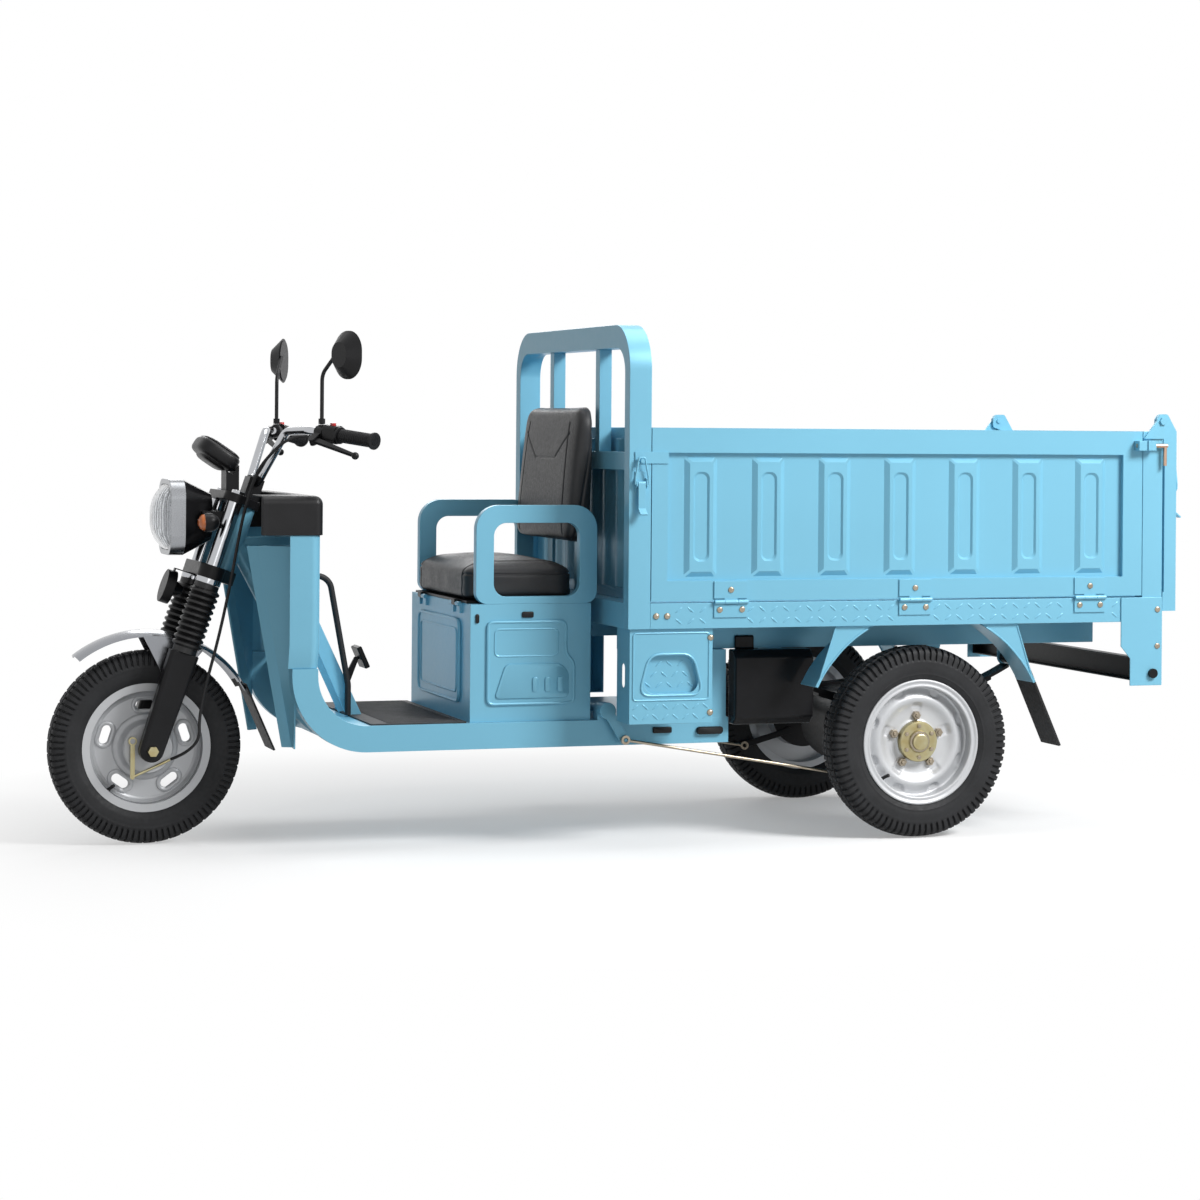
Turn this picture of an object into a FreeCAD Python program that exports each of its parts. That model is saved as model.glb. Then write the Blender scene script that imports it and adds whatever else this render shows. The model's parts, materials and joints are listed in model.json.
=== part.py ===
import FreeCAD
import Part
import math
import os

os.makedirs("parts", exist_ok=True)

# Lengths in millimetres, angles in degrees. +X rearward, +Y to the rider's right, +Z up.

# Stance and fits
wheelbase = 1990.0
rear_track = 830.0
pin_fit = 0.05
touch = 0.001
run_gap = 1.0
overrun = 2.0
sheet = 3.0

# Front wheel
front_tyre_radius = 250.0
front_tyre_width = 90.0
front_hub_radius = 62.0
front_hub_width = 104.0
front_disc = 12.0
window_count = 5
window_length = 52.0
window_height = 27.0
window_circle = 108.0

# Rear wheels
rear_tyre_radius = 255.0
rear_tyre_width = 100.0
rear_drum_radius = 98.0
rear_drum_depth = 52.0
rear_disc = 10.0
rear_hub_radius = 46.0
rear_hub_reach = 22.0
lug_count = 5
lug_circle = 68.0
lug_radius = 9.0
lug_height = 12.0

# Rim and tyre sections shared by the three wheels
rim_flange_radius = 166.0
bead_radius = 151.0
rim_sheet = 5.0
tyre_wall = 9.0
tread_depth = 16.0
rim_width_share = 0.80
bulge_share = 0.52
shoulder_share = 0.90
shoulder_drop = 12.0
tread_edge_share = 0.70
tread_drop = 5.0

# Front fork, measured along its legs from the axle
rake = 18.5
fork_spread = 100.0
fork_offset = 50.0
leg_depth_top = 76.0
leg_depth_foot = 60.0
leg_thickness = 52.0
leg_foot = 30.0
leg_top = 262.0
fork_tube_radius = 20.0
boot_top = 448.0
boot_radius = 39.0
boot_groove = 7.0
boot_wall = 4.0
boot_ribs = 10
boot_cuff = 14.0
collar_height = 14.0
collar_radius = 33.0
lower_yoke_height = 34.0
head_length = 170.0
head_radius = 27.0
stem_radius = 15.0
upper_yoke_height = 22.0
yoke_margin = 14.0
cap_height = 9.0
front_travel = 60.0

# Front axle, drum plate and cam
axle_radius = 10.0
axle_nut = 14.0
axle_nut_height = 13.0
drum_plate = 7.0
cam_boss_radius = 11.0
cam_arm = 92.0
cam_thickness = 6.0
cam_drop = 42.0
cam_ahead = 42.0
cam_rod_radius = 3.5
cam_rod_length = 96.0
cam_pivot_radius = 7.0
cam_standoff = 6.0

# Front mudguard
guard_gap = 40.0
guard_crown = 13.0
guard_width = 118.0
guard_front = 38.0
guard_rear = 60.0
guard_sheet = 3.0
stay_front = 4.0
stay_rear = 30.0
stay_thickness = 4.0
stay_drop = 110.0
flap_length = 175.0
flap_lean = 24.0
flap_thickness = 5.0

# Handlebar, offsets from its clamp
bar_radius = 11.0
riser_height = 58.0
riser_width = 70.0
riser_depth = 40.0
bar_straight = 52.0
bar_bend_back = 58.0
bar_bend_out = 130.0
bar_bend_up = 135.0
bar_sweep_back = 92.0
bar_sweep_out = 235.0
bar_sweep_up = 138.0
bar_end_back = 221.0
bar_end_out = 420.0
bar_end_up = 112.0
bar_bend_radius = 38.0
grip_radius = 16.5
grip_length = 122.0
grip_flange = 22.0
grip_flange_length = 7.0
switch_length = 42.0
switch_width = 36.0
switch_height = 46.0
perch_length = 26.0
perch_radius = 17.0
perch_gap = 4.0
adjuster_radius = 6.5
adjuster_length = 18.0
lever_stand = 37.0
lever_pivot_radius = 4.0
lever_boss = 10.0
lever_thickness = 9.0
lever_length = 168.0
lever_width = 15.0
lever_kick = 34.0
lever_ball = 9.5
button_radius = 8.0
button_height = 7.0
button_sink = 6.0
button_travel = 3.0

# Mirrors
mirror_stem_radius = 5.0
mirror_rise = 128.0
mirror_reach_out = 62.0
mirror_reach_up = 56.0
mirror_reach_back = 26.0
mirror_nut = 9.0
mirror_nut_height = 14.0
mirror_lift = 3.0
mirror_width = 112.0
mirror_height = 122.0
mirror_round = 52.0
mirror_depth = 30.0
mirror_glass = 3.0
mirror_yaw = 25.0
mirror_out = 46.0
mirror_up = 52.0

# Headlight, cluster, indicators and horn
light_width = 190.0
light_height = 196.0
light_corner = 52.0
light_depth = 76.0
light_back_share = 0.62
light_ahead = 146.0
light_rise = 58.0
bezel_depth = 38.0
bezel_rim = 13.0
lens_bulge = 38.0
lens_edge = 8.0
lens_front_share = 0.72
light_arm = 34.0
cluster_width = 168.0
cluster_depth = 128.0
cluster_height = 58.0
cluster_tilt = 34.0
cluster_rise = 92.0
cluster_ahead = 168.0
cluster_bevel = 18.0
indicator_out = 152.0
indicator_rise = -10.0
indicator_radius = 21.0
indicator_body = 24.0
indicator_lens = 40.0
indicator_stalk = 6.0
horn_radius = 44.0
horn_depth = 26.0
horn_drop = 96.0
horn_ahead = 64.0
horn_arm = 22.0
cable_radius = 4.0
cable_bend = 34.0
cable_gap = 14.0
cable_back = 62.0

# Cab floor
sill_bottom = 253.0
sill_height = 67.0
sill_width = 40.0
cab_half = 310.0
sill_end = 500.0
sill_bend = 130.0
column_front = 1670.0
cross_height = 50.0
cross_width = 46.0
cross_places = (1514.0, 1190.0, 862.0)
mat_thickness = 4.0
mat_margin = 10.0
riser_post = 46.0
down_tube_radius = 21.0
down_bend = 70.0
down_knee_x = 1664.0
down_knee_z = 600.0
down_foot_x = 1632.0
down_foot_z = 372.0
down_drop = 80.0
brace_top = 690.0
brace_foot = 1424.0
brace_depth = 42.0
brace_thickness = 6.0
brace_side = 46.0

# Leg shield
shield_over = 12.0
shield_front = 1681.0
shield_rear = 1599.0
shield_bottom = 468.0
shield_top = 806.0
shield_bevel = 62.0
shield_tuck = 17.0
shield_corner = 26.0
cap_top = 906.0
cap_overhang = 5.0
cap_round = 22.0
cap_skin = 5.0
cap_visor = 70.0
cap_notch = 178.0
cap_notch_depth = 108.0
wing_sheet = 4.0
wing_top = 776.0
wing_bottom = 262.0
wing_top_front = 1768.0
wing_top_inner = 205.0
wing_bottom_front = 1676.0
wing_bottom_inner = 216.0
wing_rear_gap = 14.0
wing_lip = 24.0
loom_radius = 8.0
loom_bend = 40.0
relay_length = 52.0
relay_width = 30.0
relay_height = 84.0

# Brake pedal, cross shaft and rods
pedal_pivot_x = 1446.0
pedal_pivot_z = 372.0
pedal_pin = 8.0
pedal_side = 96.0
pedal_arm_depth = 26.0
pedal_arm_thickness = 10.0
pedal_back = 48.0
pedal_rise = 92.0
pedal_pad_length = 62.0
pedal_pad_width = 74.0
pedal_pad_thickness = 14.0
pedal_boss = 15.0
pedal_lug_thickness = 8.0
shaft_x = 838.0
shaft_rise = 26.0
shaft_radius = 12.0
crank_stand = 28.0
bearing_half = 20.0
crank_hub = 22.0
crank_hub_width = 26.0
crank_back = 46.0
crank_drop = 76.0
crank_eye = 13.0
crank_thickness = 9.0
rod_radius = 4.0
rod_eye = 12.0
rod_rear_x = 190.0
rod_rear_z = 166.0
rod_tyre_gap = 20.5
rod_pin_radius = 5.0
rod_side_gap = 2.0
rod_thickness = 9.0

# Seat
seat_front = 1200.0
seat_rear = 873.0
seat_inset = 15.0
seat_top = 625.0
seat_wall = 4.0
seat_flange = 30.0
emboss = 4.0
emboss_margin = 46.0
emboss_corner = 30.0
pan_thickness = 6.0
pan_gap = 1.0
cushion_height = 104.0
cushion_rear = 905.0
cushion_gap = 6.0
cushion_corner = 46.0
cushion_crown = 12.0
cushion_draw = 9.0
cushion_edge = 22.0
channel_depth = 7.0
channel_width = 12.0
seat_hinge_radius = 6.0
seat_hinge_pin = 3.0
seat_hinge_length = 90.0
seat_hinge_side = 170.0
arm_front = 1186.0
arm_rear = 857.0
arm_height = 256.0
arm_bar = 46.0
arm_post = 48.0
arm_foot = 19.0
arm_round = 62.0
arm_inner_round = 34.0
arm_width = 25.0
back_bottom = 785.0
back_top = 1135.0
back_inset = 45.0
back_front_low = 925.0
back_front_high = 888.0
back_rear_low = 856.0
back_rear_high = 848.0
back_corner = 60.0
back_crown = 10.0
back_edge = 14.0
back_rise = 10.0
back_flat = 100.0
upright_side = 120.0
upright_width = 44.0
upright_thickness = 10.0
upright_foot = 70.0
upright_grip = 60.0

# Load bed
bed_half = 500.0
deck_ahead = 841.0
deck_behind = 693.0
deck_top = 635.0
deck_edge = 66.0
deck_side = 40.0
tube_wall = 4.0
bearer_width = 44.0
bearer_count = 4
rail_height = 70.0
rail_width = 50.0
rail_side = 260.0
rail_rear = 600.0
guard_post = 60.0
hoop_width = 40.0
hoop_top = 1350.0
hoop_bar = 60.0
hoop_round = 118.0
hoop_inner_round = 66.0
hoop_bolt_bar = 34.0
hoop_bar_side = 200.0
hoop_rail_bottom = 975.0
hoop_rail_height = 46.0
bulkhead_rib_count = 8
bulkhead_rib = 58.0
bulkhead_rib_depth = 9.0
bulkhead_margin = 30.0

# Drop sides
side_top = 1085.0
side_lift = 5.0
side_depth = 36.0
side_end_gap = 2.0
top_rail = 64.0
bottom_rail = 52.0
end_rail = 58.0
front_rail = 44.0
sheet_recess = 14.0
rib_count = 7
rib_width = 90.0
rib_height = 9.0
rib_margin = 10.0
rib_slope = 13.0
rib_slot_width = 34.0
rib_slot_margin = 44.0
rib_slot_depth = 5.0
hinge_barrel = 6.0
hinge_rise = 2.0
hinge_pin = 3.0
hinge_width = 92.0
hinge_knuckle = 36.0
hinge_leaf = 4.0
hinge_leaf_up = 44.0
hinge_leaf_down = 40.0
hinge_shares = (0.154, 0.523, 0.888)
bolt_radius = 8.0
bolt_height = 4.0

# Tailgate, posts and corner plates
post_depth = 60.0
post_width = 40.0
tail_gap = 4.0
tail_depth = 40.0
tail_bottom = 597.0
tail_side_gap = 3.0
tail_rib_count = 5
ear_thickness = 6.0
ear_rise = 28.0
ear_ahead = 3.0
ear_radius = 19.0
ear_foot = 20.0
ear_pin = 7.0
ear_head = 11.0
ear_head_height = 6.0
corner_plate = 4.0
corner_front = 568.0
corner_neck = 596.0
corner_drop = 173.0
corner_shoulder = 66.0
reflector_radius = 13.0
reflector_height = 10.0
lamp_bar_depth = 30.0
lamp_bar_height = 64.0
lamp_bar_front = 612.0
lamp_bar_top = 472.0
lamp_width = 110.0
lamp_height = 52.0
lamp_depth = 26.0
lamp_side = 372.0

# Latches and pins
latch_base = 3.0
latch_width = 30.0
latch_height = 62.0
latch_stand = 13.0
latch_pin = 3.5
latch_lever = 78.0
latch_lever_width = 20.0
latch_plate = 3.0
latch_curl = 14.0
latch_wire = 2.5
latch_loop = 66.0
latch_top_share = 0.45
latch_hook = 5.0
latch_hook_reach = 15.0
latch_hook_plate = 44.0
latch_z = 942.0
tail_latch_z = 930.0
tail_latch_side = 458.0
bolt_pin_radius = 6.0
bolt_pin_length = 92.0
bolt_pin_drop = 54.0
bolt_block_length = 24.0
bolt_block_height = 26.0
bolt_block_depth = 28.0
bolt_pin_z = 1046.0

# Steps, arches, flaps and controller
step_front = 833.0
step_rear = 606.0
step_depth = 100.0
step_inset = 10.0
step_bottom = 325.0
step_hole_width = 166.0
step_hole_height = 96.0
step_hole_top = 70.0
step_hole_slant = 26.0
step_hole_round = 30.0
step_slot_width = 26.0
step_slot_height = 62.0
step_slot_round = 12.9
arch_radius = 350.0
arch_inset = 10.0
arch_width = 104.0
arch_top_far = 262.0
arch_low = 26.0
arch_sheet = 4.0
rear_flap_length = 190.0
rear_flap_lean = 24.0
rear_flap_width = 106.0
rear_flap_thickness = 6.0
rear_flap_lap = 34.0
controller_front = 488.0
controller_length = 222.0
controller_height = 198.0
controller_depth = 58.0
controller_bevel = 20.0
controller_gap = 10.0
plug_depth = 8.0

# Rear axle and springs
axle_tube_radius = 32.0
motor_radius = 104.0
motor_width = 210.0
motor_bevel = 24.0
motor_side = 40.0
brake_plate = 7.0
brake_plate_gap = 2.0
spindle_radius = 17.0
spring_leaves = 4
spring_leaf = 8.0
spring_width = 50.0
spring_half = 355.0
spring_rise = 96.0
spring_step = 66.0
spring_seat = 34.0
spring_seat_length = 90.0
spring_eye = 17.0
spring_pin = 8.0
hanger_thickness = 6.0
hanger_gap = 1.0
hanger_half = 22.0
rod_lever = 9.0

# Derived places
tail_latch_reach = latch_base + latch_stand + latch_curl + latch_plate
rear_reach = deck_behind + tail_gap + tail_depth + tail_latch_reach
rear_axle_x = (front_tyre_radius + wheelbase - rear_reach) / 2
front_axle_x = rear_axle_x - wheelbase
sill_top = sill_bottom + sill_height
sill_inner = cab_half - sill_width
deck_bottom = deck_top - deck_edge
rail_bottom = deck_bottom - rail_height
deck_front = rear_axle_x - deck_ahead
deck_rear = rear_axle_x + deck_behind
guard_rear_x = deck_front + guard_post
post_front = deck_rear - post_depth
side_bottom = deck_top + side_lift
side_front_x = guard_rear_x + side_end_gap
side_rear_x = post_front - side_end_gap
hinge_y = bed_half + hinge_barrel
hinge_z = deck_top + hinge_rise
tail_front = deck_rear + tail_gap
tail_rear = tail_front + tail_depth
ear_x = deck_rear - ear_ahead
ear_z = side_top + ear_rise
origin = FreeCAD.Vector(0, 0, 0)
across = FreeCAD.Vector(0, 1, 0)
along = FreeCAD.Vector(1, 0, 0)
upward = FreeCAD.Vector(0, 0, 1)
planes = {
    "side": (lambda a, b, c: FreeCAD.Vector(a, c, b), across),
    "front": (lambda a, b, c: FreeCAD.Vector(c, a, b), along),
    "top": (lambda a, b, c: FreeCAD.Vector(a, b, c), upward),
}
shield_half = cab_half + shield_over
shaft_reach = cab_half + crank_stand
seat_half = cab_half - seat_inset
cushion_half = seat_half - arm_width - cushion_gap
back_half = seat_half - back_inset
rod_rear_y = rear_track / 2 - rear_tyre_width / 2 - rod_tyre_gap


def ahead(distance):
    return rear_axle_x - distance


def block(x0, x1, y0, y1, z0, z1):
    return Part.makeBox(x1 - x0, y1 - y0, z1 - z0, FreeCAD.Vector(x0, y0, z0))


def rod(start, end, radius):
    return Part.makeCylinder(radius, (end - start).Length, start, end - start)


def taper(start, end, first, last):
    return Part.makeCone(first, last, (end - start).Length, start, end - start)


def fused(shapes):
    return shapes[0].multiFuse(shapes[1:]).removeSplitter()


def mirrored(shape):
    return shape.mirror(origin, across)


def pair(shape):
    return [shape, mirrored(shape)]


def corner(before, point, after, radius):
    one = (before - point).normalize()
    two = (after - point).normalize()
    half = one.getAngle(two) / 2
    reach = radius / math.tan(half)
    middle = point + (one + two).normalize() * (radius / math.sin(half) - radius)
    return point + one * reach, middle, point + two * reach


def outline(points, radii):
    edges = []
    turns = []
    for i, point in enumerate(points):
        if radii[i]:
            turns.append(corner(points[i - 1], point, points[(i + 1) % len(points)], radii[i]))
        else:
            turns.append((point, None, point))
    for i, turn in enumerate(turns):
        last = turns[i - 1][2]
        if last.distanceToPoint(turn[0]) > touch:
            edges.append(Part.LineSegment(last, turn[0]).toShape())
        if turn[1]:
            edges.append(Part.Arc(*turn).toShape())
    return Part.Wire(edges)


def flat(points, radii, plane, place):
    where = planes[plane][0]
    if not isinstance(radii, (list, tuple)):
        radii = [radii] * len(points)
    return Part.Face(outline([where(a, b, place) for a, b in points], radii))


def plate(points, radii, plane, place, thickness):
    return flat(points, radii, plane, place).extrude(planes[plane][1] * thickness)


def rectangle(a0, a1, b0, b1):
    return [(a0, b0), (a1, b0), (a1, b1), (a0, b1)]


def path(points, bend):
    edges = []
    last = points[0]
    for i in range(1, len(points) - 1):
        turn = corner(points[i - 1], points[i], points[i + 1], bend)
        edges.append(Part.LineSegment(last, turn[0]).toShape())
        edges.append(Part.Arc(*turn).toShape())
        last = turn[2]
    edges.append(Part.LineSegment(last, points[-1]).toShape())
    return Part.Wire(edges)


def bent_rod(points, bend, radius):
    line = path(points, bend)
    ring = Part.Wire(Part.makeCircle(radius, points[0], points[1] - points[0]))
    return line.makePipeShell([ring], True, False)


def box_tube(x0, x1, y0, y1, z0, z1, run):
    solid = block(x0, x1, y0, y1, z0, z1)
    inset = [tube_wall, tube_wall, tube_wall]
    inset[run] = -overrun
    core = block(x0 + inset[0], x1 - inset[0], y0 + inset[1], y1 - inset[1], z0 + inset[2], z1 - inset[2])
    return solid.cut(core)


def hexagon(centre, direction, radius, height):
    side = direction.cross(upward if abs(direction.z) < abs(direction.y) + abs(direction.x) else along)
    side = side.normalize()
    other = direction.cross(side).normalize()
    points = []
    for i in range(6):
        angle = math.radians(60 * i)
        points.append(centre + side * (radius * math.cos(angle)) + other * (radius * math.sin(angle)))
    return Part.Face(Part.makePolygon(points + points[:1])).extrude(direction * height)


def dome_bolt(centre, direction):
    rim = bolt_height / 2
    head = taper(centre + direction * rim, centre + direction * bolt_height, bolt_radius, bolt_radius / 2)
    return fused([rod(centre, centre + direction * rim, bolt_radius), head])


def framed(shape, place, x_dir, y_dir):
    z_dir = x_dir.cross(y_dir)
    turned = FreeCAD.Rotation(x_dir, y_dir, z_dir, "ZXY")
    copy = shape.copy()
    copy.Placement = FreeCAD.Placement(place, turned).multiply(copy.Placement)
    return copy


def spun(section, centre):
    return section.revolve(centre, across, 360)


def raked(shape):
    copy = shape.copy()
    copy.rotate(origin, across, rake)
    copy.translate(FreeCAD.Vector(front_axle_x, 0, front_tyre_radius))
    return copy


def raked_point(back, side, rise):
    turn = FreeCAD.Rotation(across, rake)
    return turn.multVec(FreeCAD.Vector(back, side, rise)) + FreeCAD.Vector(front_axle_x, 0,
                                                                           front_tyre_radius)


def save(name, shapes):
    solids = [solid for shape in shapes for solid in shape.Solids]
    Part.makeCompound(solids).exportStep("parts/" + name + ".step")


# Tyres and rims are turned about the wheel's axle, their sections drawn as (across, out).
def tyre(radius, width, centre):
    half = width / 2
    seat = half * rim_width_share - rim_sheet
    bulge = bead_radius + (radius - bead_radius) * bulge_share
    shoulder = (half * shoulder_share, radius - shoulder_drop)
    edge = (half * tread_edge_share, radius - tread_drop)
    inner = radius - tread_depth

    def at(side, out):
        return centre + FreeCAD.Vector(0, side, out)

    lip = rim_flange_radius + run_gap
    right = [at(seat, bead_radius), at(seat, lip), at(half, bulge), at(*shoulder), at(*edge)]
    left = [at(-seat, bead_radius), at(-seat, lip), at(-half, bulge), at(-shoulder[0], shoulder[1]),
            at(-edge[0], edge[1])]
    thin = seat - tyre_wall
    belly = half - tyre_wall
    edges = [
        Part.LineSegment(right[0], right[1]).toShape(),
        Part.Arc(right[1], right[2], right[3]).toShape(),
        Part.LineSegment(right[3], right[4]).toShape(),
        Part.Arc(right[4], at(0, radius), left[4]).toShape(),
        Part.LineSegment(left[4], left[3]).toShape(),
        Part.Arc(left[3], left[2], left[1]).toShape(),
        Part.LineSegment(left[1], left[0]).toShape(),
        Part.LineSegment(left[0], at(-thin, bead_radius)).toShape(),
        Part.Arc(at(-thin, bead_radius), at(-belly, bulge), at(-edge[0], inner)).toShape(),
        Part.LineSegment(at(-edge[0], inner), at(edge[0], inner)).toShape(),
        Part.Arc(at(edge[0], inner), at(belly, bulge), at(thin, bead_radius)).toShape(),
        Part.LineSegment(at(thin, bead_radius), right[0]).toShape(),
    ]
    return spun(Part.Face(Part.Wire(edges)), centre)


def turned(points, centre):
    closed = [centre + FreeCAD.Vector(0, side, out) for side, out in points]
    return spun(Part.Face(Part.makePolygon(closed + closed[:1])), centre)


def rim_points(half, disc_low, disc_high, foot):
    seat = half - rim_sheet
    well = bead_radius - rim_sheet
    return [
        (half, rim_flange_radius),
        (seat, rim_flange_radius),
        (seat, bead_radius),
        (-seat, bead_radius),
        (-seat, rim_flange_radius),
        (-half, rim_flange_radius),
        (-half, well),
        (disc_low, well),
        (disc_low, foot),
        (disc_high, foot),
        (disc_high, well),
        (half, well),
    ]


def front_wheel():
    centre = FreeCAD.Vector(front_axle_x, 0, front_tyre_radius)
    half = front_tyre_width / 2 * rim_width_share
    rim = turned(rim_points(half, -front_disc / 2, front_disc / 2, front_hub_radius - overrun), centre)
    hub_half = front_hub_width / 2
    hub = rod(centre - across * hub_half, centre + across * hub_half, front_hub_radius)
    rim = fused([rim, hub])
    for i in range(window_count):
        x = centre.x
        z = centre.z + window_circle
        points = rectangle(x - window_length / 2, x + window_length / 2, z - window_height / 2,
                           z + window_height / 2)
        window = plate(points, window_height / 2 - pin_fit, "side", -front_disc, 2 * front_disc)
        window.rotate(centre, across, 360 / window_count * i)
        rim = rim.cut(window)
    bore = rod(centre - across * front_hub_width, centre + across * front_hub_width, axle_radius + pin_fit)
    save("front_tyre", [tyre(front_tyre_radius, front_tyre_width, centre)])
    save("front_rim", [rim.cut(bore)])


def rear_wheel(side):
    centre = FreeCAD.Vector(rear_axle_x, side * rear_track / 2, rear_tyre_radius)
    out = across * side
    half = rear_tyre_width / 2 * rim_width_share
    rim = turned(rim_points(half, -rear_disc / 2, rear_disc / 2, spindle_radius * 2), centre)
    drum = rod(centre - out * rear_drum_depth, centre, rear_drum_radius)
    drum = drum.cut(rod(centre - out * (rear_drum_depth + overrun), centre - out * rear_disc,
                        rear_drum_radius - rim_sheet))
    face = centre + out * (rear_disc / 2)
    hub = rod(centre, face + out * rear_hub_reach, rear_hub_radius)
    rim = fused([rim, drum, hub])
    core = rod(centre - out * rear_drum_depth, face + out * (rear_hub_reach - tube_wall),
               spindle_radius + pin_fit)
    solids = [rim.cut(core)]
    for i in range(lug_count):
        lug = hexagon(face + upward * lug_circle, out, lug_radius, lug_height)
        lug.rotate(centre, across, 360 / lug_count * i)
        solids.append(lug)
    name = "left" if side < 0 else "right"
    save("rear_tyre_" + name, [tyre(rear_tyre_radius, rear_tyre_width, centre)])
    save("rear_rim_" + name, solids)


# The fork is drawn upright at its axle and then raked.
lower_yoke = boot_top + collar_height
head_bottom = lower_yoke + lower_yoke_height + run_gap
head_top = head_bottom + head_length
upper_yoke = head_top + run_gap
riser_bottom = upper_yoke + upper_yoke_height
bar_height = riser_bottom + riser_height - bar_radius


def fork_legs():
    half = leg_thickness / 2
    low = leg_depth_foot / 2
    high = leg_depth_top / 2
    points = [(-low, -leg_foot), (low, -leg_foot), (high, leg_top), (-high, leg_top)]
    foot = low - pin_fit
    leg = plate(points, [foot, foot, 0, 0], "side", fork_spread - half, leg_thickness)
    upright = [edge for edge in leg.Edges if edge.Length > leg_top / 2]
    leg = leg.makeFillet(leg_thickness / 4, upright)
    line = FreeCAD.Vector(0, fork_spread, 0)
    leg = leg.cut(rod(line - across * leg_thickness, line + across * leg_thickness, axle_radius + pin_fit))
    floor = FreeCAD.Vector(0, fork_spread, leg_top - front_travel * 2)
    leg = leg.cut(rod(floor, floor + upward * (front_travel * 2 + overrun), fork_tube_radius + pin_fit))
    save("fork_legs", [raked(shape) for shape in pair(leg)])


def fork_tubes():
    floor = FreeCAD.Vector(0, fork_spread, leg_top - front_travel / 2)
    top = FreeCAD.Vector(0, fork_spread, riser_bottom)
    tube = rod(floor, top, fork_tube_radius)
    cap = hexagon(top, upward, fork_tube_radius * shoulder_share, cap_height)
    ring = FreeCAD.Vector(0, fork_spread, boot_top)
    collar = rod(ring, ring + upward * collar_height, collar_radius)
    tube = fused([tube, collar])
    save("fork_tubes", [raked(shape) for shape in pair(tube) + pair(cap)])


def fork_boots():
    axis = FreeCAD.Vector(0, fork_spread, 0)
    foot = leg_top
    pitch = (boot_top - foot - 2 * boot_cuff) / boot_ribs
    low = boot_radius - boot_groove
    rings = [(low, foot), (low, foot + boot_cuff)]
    for i in range(boot_ribs):
        start = foot + boot_cuff + pitch * i
        rings.append((boot_radius, start + pitch / 3))
        rings.append((boot_radius, start + pitch * 2 / 3))
        rings.append((low, start + pitch))
    rings.append((low, boot_top - run_gap / 2))
    outer = [axis + FreeCAD.Vector(0, radius, rise) for radius, rise in rings]
    hole = fork_tube_radius + boot_wall
    inner = [axis + FreeCAD.Vector(0, hole, rise) for rise in (boot_top - run_gap / 2, foot)]
    points = outer + inner
    section = Part.Face(Part.makePolygon(points + points[:1]))
    boot = section.revolve(axis, upward, 360)
    save("fork_boots", [raked(shape) for shape in pair(boot)])


def yoke_body(bottom, height):
    arm = fork_tube_radius + yoke_margin
    hub = head_radius + yoke_margin / 2
    base = FreeCAD.Vector(0, fork_spread, bottom)
    shapes = [rod(base, base + upward * height, arm)]
    shapes.append(mirrored(shapes[0]))
    middle = FreeCAD.Vector(fork_offset, 0, bottom)
    shapes.append(rod(middle, middle + upward * height, hub))
    points = [(-arm, -fork_spread), (-arm, fork_spread), (0, fork_spread + arm),
              (fork_offset + hub / 2, hub),
              (fork_offset + hub / 2, -hub), (0, -fork_spread - arm)]
    shapes.append(plate(points, 0, "top", bottom, height))
    body = fused(shapes)
    for side in (-1, 1):
        hole = FreeCAD.Vector(0, side * fork_spread, bottom - overrun)
        body = body.cut(rod(hole, hole + upward * (height + 2 * overrun), fork_tube_radius + pin_fit))
    return body


def fork_yokes():
    stem_foot = FreeCAD.Vector(fork_offset, 0, lower_yoke)
    stem = rod(stem_foot, stem_foot + upward * (upper_yoke - lower_yoke), stem_radius)
    low = fused([yoke_body(lower_yoke, lower_yoke_height), stem])
    high = yoke_body(upper_yoke, upper_yoke_height)
    disc = FreeCAD.Vector(-horn_ahead, 0, lower_yoke - horn_drop + horn_radius)
    horn = rod(disc - along * horn_depth, disc, horn_radius)
    brow = horn_radius * bulge_share
    horn = fused([horn, taper(disc, disc + along * horn_depth, brow, brow / 2)])
    arm_back = fork_tube_radius
    arm = block(-horn_ahead - horn_arm / 2, arm_back, -horn_arm / 2, horn_arm / 2, lower_yoke - sheet,
                lower_yoke)
    drop = block(-horn_ahead - horn_arm / 2, -horn_ahead - horn_arm / 2 + sheet, -horn_arm / 2,
                 horn_arm / 2,
                 disc.z, lower_yoke)
    bracket = fused([arm, drop]).cut(rod(disc - along * horn_depth, disc, horn_radius + pin_fit))
    save("fork_yokes", [raked(shape) for shape in (low, high, bracket, horn)])


def front_axle():
    centre = FreeCAD.Vector(front_axle_x, 0, front_tyre_radius)
    reach = fork_spread + leg_thickness / 2
    axle = rod(centre - across * reach, centre + across * reach, axle_radius)
    nut = hexagon(centre + across * reach, across, axle_nut, axle_nut_height)
    axle = fused([axle, nut, mirrored(nut)])
    inner = front_hub_width / 2 + run_gap
    face = centre - across * inner
    brake = rod(face - across * drum_plate, face, front_hub_radius)
    brake = brake.cut(rod(face - across * front_hub_width, face + across * front_hub_width,
                          axle_radius + pin_fit))
    tip = cam_pivot()
    pin = rod(tip - across * cam_thickness, tip + across * cam_standoff, cam_pivot_radius - pin_fit)
    save("front_axle", [axle, fused([brake, pin])])


def cam_pivot():
    face = -(front_hub_width / 2 + run_gap + drum_plate) - cam_standoff
    return FreeCAD.Vector(front_axle_x - cam_ahead, face, front_tyre_radius + cam_drop / 2)


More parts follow.
